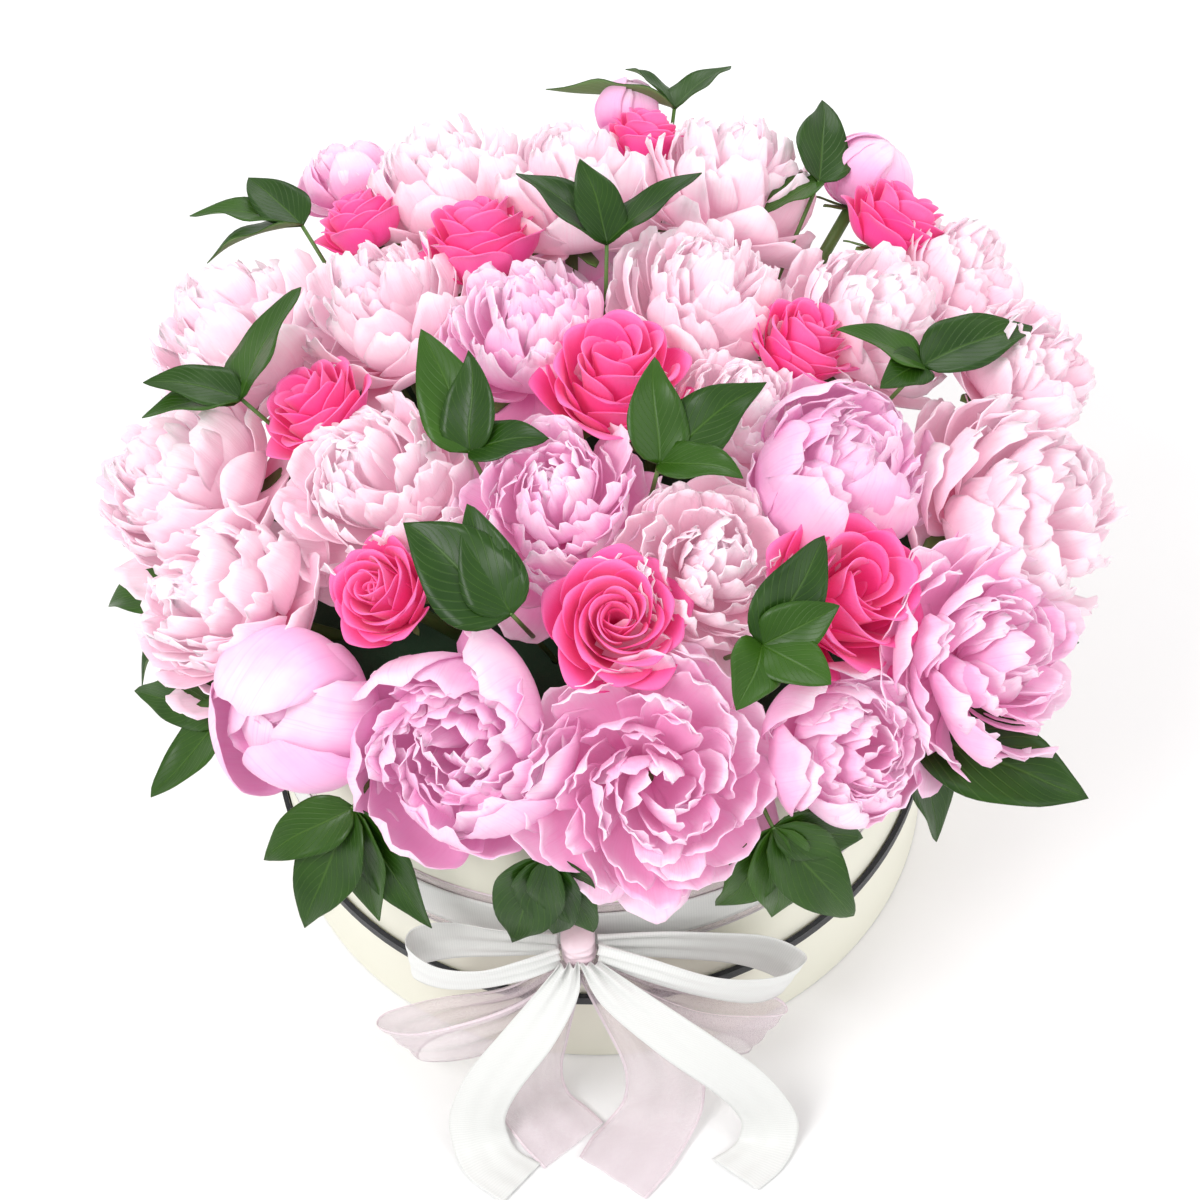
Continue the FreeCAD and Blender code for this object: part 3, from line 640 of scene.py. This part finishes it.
# All whorls of one flower, standing on its receptacle at the origin.
def makeFlowerHead(name, habit, radius, finish, seed, openness):
    fall = petalFall[habit]
    made = []
    for ring, (shapeName, count, tilts, sizes) in enumerate(flowerHabits[habit]):
        made.append(whorl("%s_ring%d" % (name, ring), shapeName, radius, finish, petalThickness["petal"], {
            "Count": count,
            "Step": golden if shapeName == "tuft" else 2 * math.pi / count,
            "Start Turn": seed * 0.7 + ring * fall["ring"],
            "Turn Spread": fall["turn"],
            "First Tilt": deg(tilts[0] + openness), "Last Tilt": deg(tilts[1] + openness * 0.6),
            "Tilt Spread": deg(fall["tilt"]),
            "First Size": sizes[0], "Last Size": sizes[1],
            "Size Spread": fall["size"],
            "Roll Spread": fall["roll"],
            "Crumple": radius * fall["crumple"],
            "Crumple Scale": fall["scale"] / radius,
            "Seed": seed * 10 + ring,
        }))
    sepals = whorl(name + "_sepals", "sepal", radius, stemMaterial, petalThickness["sepal"], {
        "Count": 5, "Step": 2 * math.pi / 5, "First Tilt": deg(8), "Last Tilt": deg(8),
        "Crumple": 0.001, "Seed": seed})
    return joined(made + [sepals], name + "_head")


# node: one look per head, front to back as headsOf sorts them:
# habit, colour, swell over the CAD head, seed, openness in degrees
flowerLooks = {
    "peony_front_bud": [("bud", "lilac", 1.12, 3, 0)],
    "peony_front_left": [("half", "lilac", 1.15, 5, 6)],
    "peony_front_open": [("open", "pink", 1.13, 7, 6)],
    "peony_front_right": [("half", "pink", 1.12, 9, 8)],
    "peony_right_fan": [("open", "pink", 1.2, 11, 4)],
    "peony_right_large": [("full", "blush", 1.14, 13, 4)],
    "peony_right_rear": [("full", "blush", 1.4, 15, 4)],
    "peony_rear_right_rim": [("full", "blush", 1.5, 17, 4)],
    "peony_rear_right": [("full", "blush", 1.25, 19, 4)],
    "peony_rear_middle": [("full", "blush", 1.3, 21, 2)],
    "peony_rear_left": [("full", "blush", 1.3, 23, 4)],
    "peony_left_rear": [("full", "blush", 1.22, 25, 4)],
    "peony_left_large": [("full", "blush", 1.22, 27, 4)],
    "peony_left_front": [("full", "blush", 1.35, 29, 4)],
    "peony_crown_left": [("full", "blush", 1.32, 31, 2)],
    "peony_crown_front": [("full", "pink", 1.22, 33, 0)],
    "peony_crown_right": [("full", "blush", 1.45, 35, 4)],
    "peony_lilac_ball": [("half", "lilac", 1.2, 37, 2)],
    "peony_upper_left": [("full", "blush", 1.25, 39, 2)],
    "peony_upper_middle": [("full", "pink", 1.25, 41, 2)],
    "peony_upper_right": [("full", "blush", 1.2, 43, 2)],
    "peony_nested": [("full", "blush", 1.5, 45, 0)],
    "peony_upper_side": [("full", "blush", 1.35, 47, 4)],
    "peony_low_rear_left": [("full", "blush", 1.75, 49, 0), ("full", "blush", 1.75, 51, 0)],
    "peony_low_rear_right": [
        ("full", "pink", 1.75, 53, 0), ("full", "blush", 1.75, 55, 0), ("full", "blush", 1.75, 57, 0)],
    "peony_rear_buds": [("half", "pink", 1.3, 59, 0), ("bud", "lilac", 1.15, 61, 0), ("bud", "lilac", 1.2, 63, 0)],
    "rose_crown": [("rose", "rose", 1.12, 71, 2)],
    "rose_rear_left": [("rose", "rose", 1.08, 73, 0)],
    "rose_right": [("rose", "rose", 1.12, 75, 0)],
    "rose_left": [("rose", "rose", 1.1, 77, 0)],
    "rose_front_left": [("rose", "rose", 1.05, 79, -10)],
    "rose_front": [("rose", "rose", 1.14, 81, -2)],
    "rose_front_right": [("rose", "rose", 1.2, 83, 4)],
    "rose_rear_right": [("rose", "rose", 1.4, 85, 6)],
    "rose_rear_small": [("rose", "rose", 1.3, 87, -4), ("rose", "rose", 1.3, 89, -4)],
}
stemSize = {"radius": 0.003, "bow": 0.003, "rings": 9, "around": 10, "above": 0.06}


# A closed stem from one point to another, slightly bowed.
def stemTube(name, low, high):
    run = high - low
    side = run.cross(Vector((0.3, 0.7, 0.2))).normalized()
    up = run.cross(side).normalized()
    rings = []
    for share in (i / (stemSize["rings"] - 1) for i in range(stemSize["rings"])):
        here = low.lerp(high, share) + side * stemSize["bow"] * math.sin(math.pi * share)
        rings.append(ringAround(here, side, up, stemSize["radius"], stemSize["around"]))
    return tubeObject(name, np.array(rings), stemMaterial)


def makeFlowers():
    for node, looks in flowerLooks.items():
        parts = []
        for count, (head, look) in enumerate(zip(headsOf(node), looks)):
            habit, colour, swell, seed, openness = look
            radius = head["across"] * swell
            name = "%s_%d" % (node, count)
            flower = makeFlowerHead(name, habit, radius, petalMaterials[colour], seed, openness)
            seat = head["centre"] - head["axis"] * radius * seatBelow[habit]
            turn = Vector((0, 0, 1)).rotation_difference(head["axis"]).to_matrix().to_4x4()
            flower.data.transform(Matrix.Translation(seat) @ turn)
            top = seat + head["axis"] * radius * stemSize["above"]
            parts += [flower, stemTube(name + "_stem", head["foot"], top)]
        place(joined(parts, node + "_bloom"), "bouquet", node, looks[0][1] + "_petals")
    print("flowers made")


makeFlowers()


# A unit leaf along +X, face up, folded along its midrib and curved over towards its tip.
def leafObject():
    t, u = sheetGrid(17, 9, 1)
    outline = np.sin(np.pi * t ** 0.72) ** 0.8 * (1 - 0.25 * t)
    outline = outline / outline.max()
    fold = 0.16 * np.abs(u) ** 1.3 * outline
    arch = -0.2 * t ** 2.2
    wave = 0.03 * np.sin(t * 11.0) * np.abs(u) ** 2 * outline
    points = np.stack([t, u * outline * 0.5, fold * 0.5 + arch + wave], -1)
    coords = np.stack([u * 0.5 + 0.5, t], -1)
    return newObject("unitLeaf", gridMesh("unitLeaf", points, coords, {"leafEdge": t ** 1.5}))


# A leaf on every point, turned and sized by the point's own values, each bent its own way.
def makeLeafTree():
    tree, enter, leave = newGroup("leafSpread", [
        ("Geometry", "Geometry"), ("Leaf", "Object"), ("Bend", "Float", 0.006),
        ("Bend Scale", "Float", 28.0), ("Seed", "Int", 1), ("Finish", "Material"),
    ], [("Geometry", "Geometry")], "GeometryNodeTree")
    given = enter.outputs
    leaves = spreadOn(tree, given["Geometry"], given["Leaf"],
                      ownValue(tree, "leafTurn", "FLOAT_VECTOR"), ownValue(tree, "leafSize", "FLOAT_VECTOR"))
    tone = randomBetween(tree, 0.0, 1.0, given["Seed"])
    noise = noiseNode(tree, None, given["Bend Scale"], 0.5, output="Color")
    settle(tree, enter, leave, leaves, tone, "leafTone", "leafEdge", noise, given["Bend"])
    return tree


def makeLeafMaterial(name, dark, light, vein, roughness, coat):
    material, tree, shader = newMaterial(name, Roughness=roughness, Specular_IOR_Level=0.28,
                                         Coat_Weight=coat, Coat_Roughness=0.18)
    coord, x, along = coordinates(tree)
    across = fromMiddle(tree, x)
    rib = mathNode(tree, "SUBTRACT", 1.0, stepBetween(tree, across, 0.0, 0.035))
    swept = mathNode(tree, "SUBTRACT", along, mathNode(tree, "MULTIPLY", across, 0.9))
    wave = mathNode(tree, "SINE", mathNode(tree, "MULTIPLY", swept, 62.0))
    side = stepBetween(tree, wave, 0.72, 1.0)
    lines = mathNode(tree, "MAXIMUM", rib, mathNode(tree, "MULTIPLY", side, 0.45))
    tone = addNode(tree, "ShaderNodeAttribute", {}, attribute_name="leafTone").outputs["Fac"]
    patch = noiseNode(tree, coord.outputs["Object"], 45.0, 3.0)
    amount = mathNode(tree, "ADD", mathNode(tree, "MULTIPLY", tone, 0.6),
                      mathNode(tree, "MULTIPLY_ADD", patch, 0.8, -0.3), clamp=True)
    colour = mixColour(tree, amount, dark, light)
    colour = mixColour(tree, mathNode(tree, "MULTIPLY", lines, 0.4), colour, vein)
    tree.links.new(colour, shader.inputs["Base Color"])
    height = mathNode(tree, "MULTIPLY_ADD", lines, -1.0, mathNode(tree, "MULTIPLY", patch, 0.8))
    addBump(tree, shader, height, 0.5, 0.0007)
    return material


leafTop = makeLeafMaterial("leafGloss", (0.010, 0.044, 0.001), (0.042, 0.125, 0.006), (0.085, 0.19, 0.02),
                           0.38, 0.1)
leafUnder = makeLeafMaterial("leafUnderside", (0.10, 0.19, 0.06), (0.17, 0.29, 0.10), (0.22, 0.34, 0.14),
                             0.6, 0.0)
leafTree = makeLeafTree()

# node: sprigs of (turn, reach, level, leaves), each leaf (turn, rise, length mm, width mm)
crownSprigs = {
    "foliage_crown": [
        (46, 46, 268, [(175, 45, 42, 22), (115, 28, 52, 25), (60, 25, 38, 17)]),
        (-68, 47, 268, [(-160, 35, 48, 24), (178, 50, 38, 20), (78, 35, 36, 17)]),
        (168, 95, 270, [(-140, 22, 50, 24), (-170, 35, 38, 19), (122, 24, 48, 21)]),
    ],
    "foliage_sides": [
        (-105, 146, 250, [(150, 35, 50, 30), (-104, 20, 38, 20), (-85, 10, 40, 20)]),
        (99, 150, 253, [(-96, 42, 40, 20), (115, 2, 54, 24), (-40, 34, 30, 17)]),
        (-18, 100, 258, [(-125, 28, 52, 32), (-150, 40, 42, 24)]),
        (31, 130, 246, [(134, 36, 44, 24), (94, 30, 32, 20), (44, 8, 32, 20), (-16, 14, 34, 20)]),
    ],
    "foliage_rear": [
        (-141, 184, 247, [(-114, 4, 48, 24), (-145, 8, 38, 20), (-90, -4, 44, 22)]),
        (164, 206, 249, [(-120, 4, 56, 28), (-150, 16, 34, 17), (140, 8, 36, 18)]),
        (140, 182, 252, [(168, 12, 44, 25), (-62, 8, 32, 19)]),
    ],
}
rimSprigs = {
    "foliage_rim_front": [
        (-39, 164, 178, [(-44, -48, 58, 28), (-78, -22, 46, 20), (0, -60, 52, 24), (34, -46, 56, 25)]),
        (-9, 160, 176, [(-60, -62, 54, 25), (-12, -72, 46, 24), (44, -64, 44, 23)]),
        (24, 166, 175, [(62, -52, 60, 27), (4, -68, 48, 25), (-48, -52, 48, 22), (96, -30, 46, 19)]),
        (50, 170, 176, [(34, -62, 56, 26), (66, -8, 72, 34), (84, -34, 46, 22)]),
    ],
    "foliage_rim_sides": [
        (-65, 168, 178, [(-112, -12, 54, 21), (-62, -30, 54, 22)]),
        (-88, 170, 178, [(-110, -24, 56, 19), (-60, -34, 50, 19)]),
        (-112, 172, 178, [(-130, -20, 50, 21), (-95, -34, 44, 19)]),
        (72, 172, 178, [(66, -28, 52, 23), (90, -20, 50, 19)]),
        (94, 176, 178, [(84, -16, 54, 19), (112, -36, 46, 19)]),
        (128, 172, 176, [(112, -30, 50, 21), (140, -44, 46, 21)]),
    ],
    "foliage_rim_rear": [
        (-134, 166, 174, [(-150, -46, 50, 23), (-115, -36, 46, 21)]),
        (-147, 164, 172, [(-170, -56, 50, 23), (-140, -34, 44, 19)]),
        (-173, 164, 172, [(165, -56, 50, 23), (-160, -36, 44, 19)]),
        (173, 164, 172, [(157, -56, 50, 23), (178, -36, 44, 19)]),
        (154, 166, 174, [(138, -46, 50, 23), (158, -36, 44, 19)]),
    ],
}
sprigSizes = {
    "stem": 0.0014, "around": 8, "taper": 0.35, "foot": 0.127, "elbowReach": 0.141, "elbowLevel": 0.178,
    "leafLength": 0.00108, "leafWidth": 0.00116, "leafDepth": 0.001, "leafWall": 0.0005, "tuck": 0.001,
}


# A closed round tube through the points, thinner towards its end.
def sprigStem(points):
    line = [Vector(p) for p in points]
    side = Vector((0.3, 0.7, 0.2))
    rings = []
    for i, here in enumerate(line):
        along = (line[min(i + 1, len(line) - 1)] - line[max(i - 1, 0)]).normalized()
        side = (side - along * side.dot(along)).normalized()
        width = sprigSizes["stem"] * (1 - sprigSizes["taper"] * i / (len(line) - 1))
        rings.append(ringAround(here, side, along.cross(side), width, sprigSizes["around"]))
    return tubeObject("sprigStem", np.array(rings), stemMaterial)


# Turns a leaf's length along one direction and its face as far outward as that lets it.
def leafTurn(along, outward):
    face = (outward - along * outward.dot(along)).normalized()
    return Matrix((along, face.cross(along), face)).transposed().to_euler()[:]


def makeSprigs(table, overRim, leaf):
    root = Vector(stemRoot)
    for node, sprigs in table.items():
        spots, turns, sizes, tubes = [], [], [], []
        for turn, reach, level, leaves in sprigs:
            base = polarPoint(turn, reach / 1000, level / 1000)
            bend = polarPoint(turn, sprigSizes["elbowReach"], sprigSizes["elbowLevel"]) if overRim else base
            heading = (bend - root).normalized()
            foot = root + heading * ((sprigSizes["foot"] - root.z) / heading.z)
            tubes.append(sprigStem(smoothRun([foot, bend, base] if overRim else [foot, base], 8)))
            for way, rise, length, width in leaves:
                along = polarPoint(way, math.cos(deg(rise)), math.sin(deg(rise)))
                spots.append((base - along * sprigSizes["tuck"])[:])
                turns.append(leafTurn(along, (base - root).normalized()))
                sizes.append((length * sprigSizes["leafLength"], width * sprigSizes["leafWidth"],
                              length * sprigSizes["leafDepth"]))
        mesh = bpy.data.meshes.new(node + "_points")
        mesh.from_pydata(spots, [], [])
        for label, rows in (("leafTurn", turns), ("leafSize", sizes)):
            mesh.attributes.new(label, "FLOAT_VECTOR", "POINT").data.foreach_set(
                "vector", np.array(rows, np.float32).ravel())
        carrier = newObject(node + "_points", mesh)
        useTree(carrier, leafTree, {"Leaf": leaf, "Bend": 0.016, "Bend Scale": 26.0,
                                    "Seed": len(node), "Finish": leafTop})
        blades = finished(carrier, node + "_blades")
        blades.data.materials.append(leafUnder)
        addSolidify(blades, sprigSizes["leafWall"], -1.0).material_offset = 1
        blades = finished(blades, node + "_blades")
        place(joined([blades] + tubes, node + "_leaves"), "bouquet", node, "leaves")


unitLeaf = leafObject()
makeSprigs(crownSprigs, False, unitLeaf)
makeSprigs(rimSprigs, True, unitLeaf)
bpy.data.objects.remove(unitLeaf)
print("leaves made")


def makeSatinMaterial():
    material, tree, shader = newMaterial("satinWhite", Roughness=0.38, Specular_IOR_Level=0.5, Anisotropic=0.6,
                                         Sheen_Weight=0.25, Sheen_Roughness=0.3)
    weave = useGroup(tree, weaveGroup, Across=55.0, Along=900.0, Slub=0.5)
    colour = mixColour(tree, weave.outputs["Thread"], (0.70, 0.71, 0.69), (0.79, 0.795, 0.775))
    tree.links.new(colour, shader.inputs["Base Color"])
    addBump(tree, shader, weave.outputs["Height"], 0.08, 0.0002)
    return material


# Sheer cloth: threads and selvedges cover, the gaps between them let the light through; painted glints brighten
# scattered specks of its colour.
def makeOrganzaMaterial():
    material, tree, shader = newMaterial("organzaBlush", Roughness=0.35, Specular_IOR_Level=0.6,
                                         Sheen_Weight=0.6, Sheen_Roughness=0.25)
    weave = useGroup(tree, weaveGroup, Across=70.0, Along=1900.0, Slub=1.6)
    coord, across, along = coordinates(tree)
    selvedge = stepBetween(tree, fromMiddle(tree, across), 0.44, 0.48)
    shade = mixColour(tree, weave.outputs["Thread"], (0.76, 0.60, 0.67), (0.90, 0.79, 0.83))
    # Painted glints: near-white specks mixed into the cloth's colour.
    shade = mixColour(tree, mathNode(tree, "MULTIPLY", weave.outputs["Glint"], 0.8), shade, (0.97, 0.95, 0.97))
    tree.links.new(shade, shader.inputs["Base Color"])
    cover = mathNode(tree, "MULTIPLY_ADD", weave.outputs["Thread"], 0.46 - 0.08, 0.08)
    cover = mathNode(tree, "MAXIMUM", cover, mathNode(tree, "MULTIPLY", selvedge, 0.9))
    tree.links.new(cover, shader.inputs["Alpha"])
    addBump(tree, shader, weave.outputs["Height"], 0.2, 0.0003)
    return material


ribbonKinds = {
    "satin": dict(material=makeSatinMaterial(), width=0.025, slot="satin_ribbon", thickness=0.0003),
    "organza": dict(material=makeOrganzaMaterial(), width=0.038, slot="organza_ribbon", thickness=0.0002),
}

# Loose ribbons: how far the cloth waves across its width, then sections of (x, y, z, width)
# in mm, each with the direction across.
ribbonRuns = {
    "satin_loop_left": ("satin", 0.8, [
        (-24.4, -163, 108, 14, (0, 0, 1)),
        (-40, -169, 109, 20, (0, -0.1, 1)),
        (-58, -171, 107, 25, (0, -0.25, 1)),
        (-76, -166, 103, 25.5, (0, -0.2, 1)),
        (-88, -155, 99, 25.5, (0, 0, 1)),
        (-85, -147, 98, 25.5, (0, 0.1, 1)),
        (-70, -147, 101, 25, (0, 0.1, 1)),
        (-48, -153.5, 106, 22, (0, 0, 1)),
        (-24.4, -157.5, 108, 14, (0, 0, 1)),
    ]),
    "satin_loop_right": ("satin", 0.8, [
        (-7.6, -163, 107, 14, (0, 0, 1)),
        (12, -170, 103, 20, (0.15, -0.1, 1)),
        (38, -174, 91, 25, (0.3, -0.2, 1)),
        (62, -169, 76, 25.5, (0.4, -0.1, 1)),
        (76, -158, 67, 25.5, (0.4, 0, 1)),
        (73, -151, 67, 25.5, (0.35, 0, 1)),
        (58, -150, 78, 25, (0.3, 0, 1)),
        (28, -156, 97, 22, (0.2, 0, 1)),
        (-7.6, -157.5, 107, 14, (0, 0, 1)),
    ]),
    "organza_loop_left": ("organza", 2.0, [
        (-20, -163, 95, 8, (-1, 0, 0.4)),
        (-33, -168, 80, 16, (-1, 0, 0.7)),
        (-54, -170, 62, 26, (-0.9, 0, 1)),
        (-80, -167, 46, 34, (-0.6, 0, 1)),
        (-99, -158, 35, 36, (-0.5, 0, 1)),
        (-96, -151, 36, 36, (-0.5, 0, 1)),
        (-76, -152, 48, 30, (-0.7, 0, 1)),
        (-44, -157, 67, 18, (-1, 0, 0.9)),
        (-21, -157, 91, 8, (-1, 0, 0.4)),
    ]),
    "organza_loop_right": ("organza", 2.0, [
        (-12, -163, 95, 8, (1, 0, 0.4)),
        (2, -169, 80, 16, (1, 0, 0.7)),
        (22, -173, 62, 26, (0.9, 0, 1)),
        (46, -173, 46, 34, (0.6, 0, 1)),
        (63, -167, 35, 36, (0.5, 0, 1)),
        (60, -160, 36, 36, (0.5, 0, 1)),
        (40, -160, 48, 30, (0.7, 0, 1)),
        (10, -159, 67, 18, (1, 0, 0.9)),
        (-11, -157, 91, 8, (1, 0, 0.4)),
    ]),
    "satin_tail_left": ("satin", 1.0, [
        (-20.5, -166.8, 106, 9, (1, 0, 0)),
        (-28, -174, 92, 20, (1, -0.15, 0.1)),
        (-42, -181, 70, 25, (1, -0.3, 0.1)),
        (-58, -184, 42, 25, (1, -0.35, 0)),
        (-67, -187, 18, 25, (1, -0.1, 0)),
        (-67, -193, 4.5, 25, (1, 0.2, 0)),
        (-62, -203, 1.4, 25, (1, 0.5, 0)),
        (-50, -213, 1.2, 25, (0.8, 0.8, 0)),
    ]),
    "organza_tail_left": ("organza", 2.2, [
        (-19, -166.8, 97, 8, (1, 0, 0)),
        (-27, -170, 78, 16, (1, 0.1, 0)),
        (-36, -172, 52, 24, (1, 0.15, 0)),
        (-43, -173, 26, 30, (1, 0.1, 0)),
        (-42, -177, 6, 32, (1, 0.3, 0)),
        (-34, -187, 1.6, 34, (0.9, 0.5, 0)),
        (-26, -197, 1.4, 34, (0.85, 0.6, 0)),
    ]),
    "organza_tail_right": ("organza", 2.2, [
        (-13, -166.8, 97, 8, (1, 0, 0)),
        (-3, -172, 82, 18, (1, 0, 0)),
        (8, -178, 62, 28, (1, 0, 0)),
        (16, -181, 34, 34, (1, -0.1, 0)),
        (15, -184, 10, 36, (1, -0.2, 0)),
        (8, -192, 2.6, 38, (1, -0.35, 0)),
        (-1, -203, 1.6, 39, (1, -0.6, 0)),
        (-10, -214, 1.4, 36, (1, -0.8, 0)),
    ]),
    "satin_tail_right": ("satin", 1.0, [
        (-11.5, -166.8, 106, 9, (1, 0, 0)),
        (2, -178, 93, 20, (1, 0.15, 0.05)),
        (26, -189, 70, 25, (1, 0.25, 0)),
        (48, -194, 42, 25, (1, 0.2, 0)),
        (60, -197, 16, 25, (1, 0, 0)),
        (60, -202, 4, 25, (1, -0.2, 0)),
        (54, -210, 1.6, 25, (1, -0.5, 0)),
        (44, -217, 1.3, 25, (0.8, -0.7, 0)),
    ]),
}


# The ribbon as a grid: smooth run of centres and edges, rippled where it is gathered.
def ribbonMesh(name, sections, wave):
    rows = []
    for x, y, z, width, across in sections:
        side = Vector(across).normalized() * width * 0.5
        rows.append((x, y, z, *side))
    run = smoothRun(rows, 12) * 0.001
    u = np.linspace(-1, 1, 17)[None, :]
    centre, side = run[:, :3], run[:, 3:]
    along = np.gradient(centre, axis=0)
    along /= np.linalg.norm(along, axis=1)[:, None]
    face = np.cross(side, along)
    face /= np.linalg.norm(face, axis=1)[:, None]
    half = np.linalg.norm(side, axis=1)
    gathered = np.clip(1 - half / half.max(), 0, 1)[:, None]
    length = np.concatenate([[0], np.cumsum(np.linalg.norm(np.diff(centre, axis=0), axis=1))])[:, None]
    ripple = np.cos(u * 2.5 * np.pi) * (gathered * 0.004 + wave * 0.0002)
    sway = wave * 0.0004 * np.sin(length * 95.0) * u * (1 - gathered)
    points = (centre[:, None, :] + side[:, None, :] * u[..., None]
              + face[:, None, :] * (ripple + sway)[:, :, None])
    aboveTable = 0.0007
    points[..., 2] = np.maximum(points[..., 2], aboveTable)
    coords = np.stack(np.broadcast_arrays(u * 0.5 + 0.5, length), -1)
    return gridMesh(name, points, coords), float(length[-1, 0])


def clothPiece(node, mesh, kind, seam=False):
    mesh.materials.append(kind["material"])
    piece = newObject(node + "_cloth", mesh)
    if seam:
        piece.modifiers.new("seam", "WELD").merge_threshold = 0.00005
    addSolidify(piece, kind["thickness"])
    piece = finished(piece, node + "_cloth")
    place(piece, "box", node, kind["slot"])


def makeRibbons():
    for node, (kindName, wave, sections) in ribbonRuns.items():
        kind = ribbonKinds[kindName]
        mesh, length = ribbonMesh(node + "_cloth", sections, wave)
        clothPiece(node, mesh, kind)
    print("ribbons made")


makeRibbons()


# The wound bands, as thin cloth just inside the room the frame keeps for them.
def makeBand(node, kind):
    low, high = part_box(node)
    radius = high.x - 0.0003
    turns = np.linspace(0, 2 * np.pi, 193)[:, None]
    u = np.linspace(-1, 1, 9)[None, :]
    middle, half = (low.z + high.z) / 2, (high.z - low.z) / 2
    out = radius + 0.00012 * np.cos(u * 3.0) * np.ones_like(turns)
    level = middle + half * u + 0.0004 * np.sin(turns * 3)
    points = np.stack(np.broadcast_arrays(out * np.sin(turns), -out * np.cos(turns), level), -1)
    coords = np.stack(np.broadcast_arrays(u * 0.5 + 0.5, turns * radius), -1)
    clothPiece(node, gridMesh(node + "_cloth", points, coords), kind, True)


makeBand("organza_band", ribbonKinds["organza"])
makeBand("satin_band", ribbonKinds["satin"])
print("bands made")

knotMaterial = makeGrainMaterial("organzaKnot", (0.84, 0.60, 0.68), (0.92, 0.78, 0.83), 1400.0, 160.0, 0.4,
                                 Roughness=0.4, Sheen_Weight=0.5, Sheen_Roughness=0.3)


def squared(values):
    return np.sign(values) * np.abs(values) ** 0.75


# The knot: sheer ribbon wrapped in pleats round the bow's middle.
def makeKnot():
    low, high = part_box("bow_knot")
    centre, half = (low + high) / 2, (high - low) / 2
    v = np.linspace(-1, 1, 41)[:, None]
    angle = np.linspace(0, 2 * np.pi, 65)[None, :-1]
    pleat = 1 + 0.07 * np.sin(v * 11 + np.sin(angle * 2) * 0.8) + 0.03 * np.sin(v * 23 + angle * 3)
    waist = (1 - 0.18 * (1 - v ** 2)) * np.sqrt(np.clip(1.02 - np.abs(v) ** 5, 0, 1))
    x = squared(np.cos(angle)) * half.x * waist * pleat
    y = squared(np.sin(angle)) * half.y * waist * pleat
    z = v * half.z * np.ones_like(angle)
    rings = np.stack([x + centre.x, y + centre.y, z + centre.z], -1)
    place(tubeObject("bow_knot_wrap", rings, knotMaterial), "box", "bow_knot", "organza_ribbon")


makeKnot()
print("knot made")

creamBoard = makeGrainMaterial("creamBoard", (0.80, 0.785, 0.66), (0.855, 0.845, 0.735), 1300.0, 7.0, 0.12,
                               Roughness=0.5, Specular_IOR_Level=0.4)
darkEdging = makeGrainMaterial("darkEdging", (0.012, 0.014, 0.018), (0.022, 0.024, 0.03), 1800.0, 40.0, 0.3,
                               Roughness=0.45, Specular_IOR_Level=0.4)
wetFoam = makeGrainMaterial("wetFoam", (0.02, 0.07, 0.03), (0.05, 0.13, 0.06), 700.0, 60.0, 0.8,
                            Roughness=0.9, Specular_IOR_Level=0.4)
clearFilm = newMaterial("clearFilm", Base_Color=(0.80, 0.84, 0.82), Roughness=0.2, Alpha=0.82,
                        Specular_IOR_Level=0.6)[0]


def dressFrame():
    finishes = {
        creamBoard: ("lid_panel", "lid_rim", "box_base", "box_wall"),
        darkEdging: ("lid_trim",),
        wetFoam: ("foam_lower", "foam_upper"),
        clearFilm: ("liner",),
    }
    for finish, nodes in finishes.items():
        for node in nodes:
            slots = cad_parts[node].data.materials
            slots.clear()
            slots.append(finish)
    print("frame dressed")


dressFrame()

stageLook = {
    "floorSize": 14, "floorLevel": -0.0006, "floorColour": (0.93, 0.93, 0.93), "world": 0.8,
    "aim": (0, 0, 0.15),
    # place, size, power
    "keyLight": ((-1.1, -0.9, 1.9), 1.0, 24.0),
    "fillLight": ((1.5, -0.8, 1.3), 1.4, 9.0),
    "backLight": ((0.3, 1.6, 1.6), 1.2, 12.0),
}


def makeStage():
    bpy.ops.mesh.primitive_plane_add(size=stageLook["floorSize"], location=(0, 0, stageLook["floorLevel"]))
    floor = bpy.context.object
    floor.name = "studioFloor"
    floor.data.materials.append(newMaterial("paleFloor", Base_Color=stageLook["floorColour"], Roughness=0.7,
                                            Specular_IOR_Level=0.1)[0])
    world = bpy.data.worlds.new("studioWorld")
    scene.world = world
    world.use_nodes = True
    background = world.node_tree.nodes["Background"]
    background.inputs["Color"].default_value = (1, 1, 1, 1)
    background.inputs["Strength"].default_value = stageLook["world"]
    for name in ("keyLight", "fillLight", "backLight"):
        spot, size, power = stageLook[name]
        data = bpy.data.lights.new(name, "AREA")
        data.size = size
        data.energy = power
        lamp = bpy.data.objects.new(name, data)
        lamp.location = spot
        aim = Vector(stageLook["aim"]) - Vector(spot)
        lamp.rotation_euler = aim.to_track_quat("-Z", "Y").to_euler()
        scene.collection.objects.link(lamp)
    scene.view_settings.view_transform = "Standard"
    print("stage made")


makeStage()
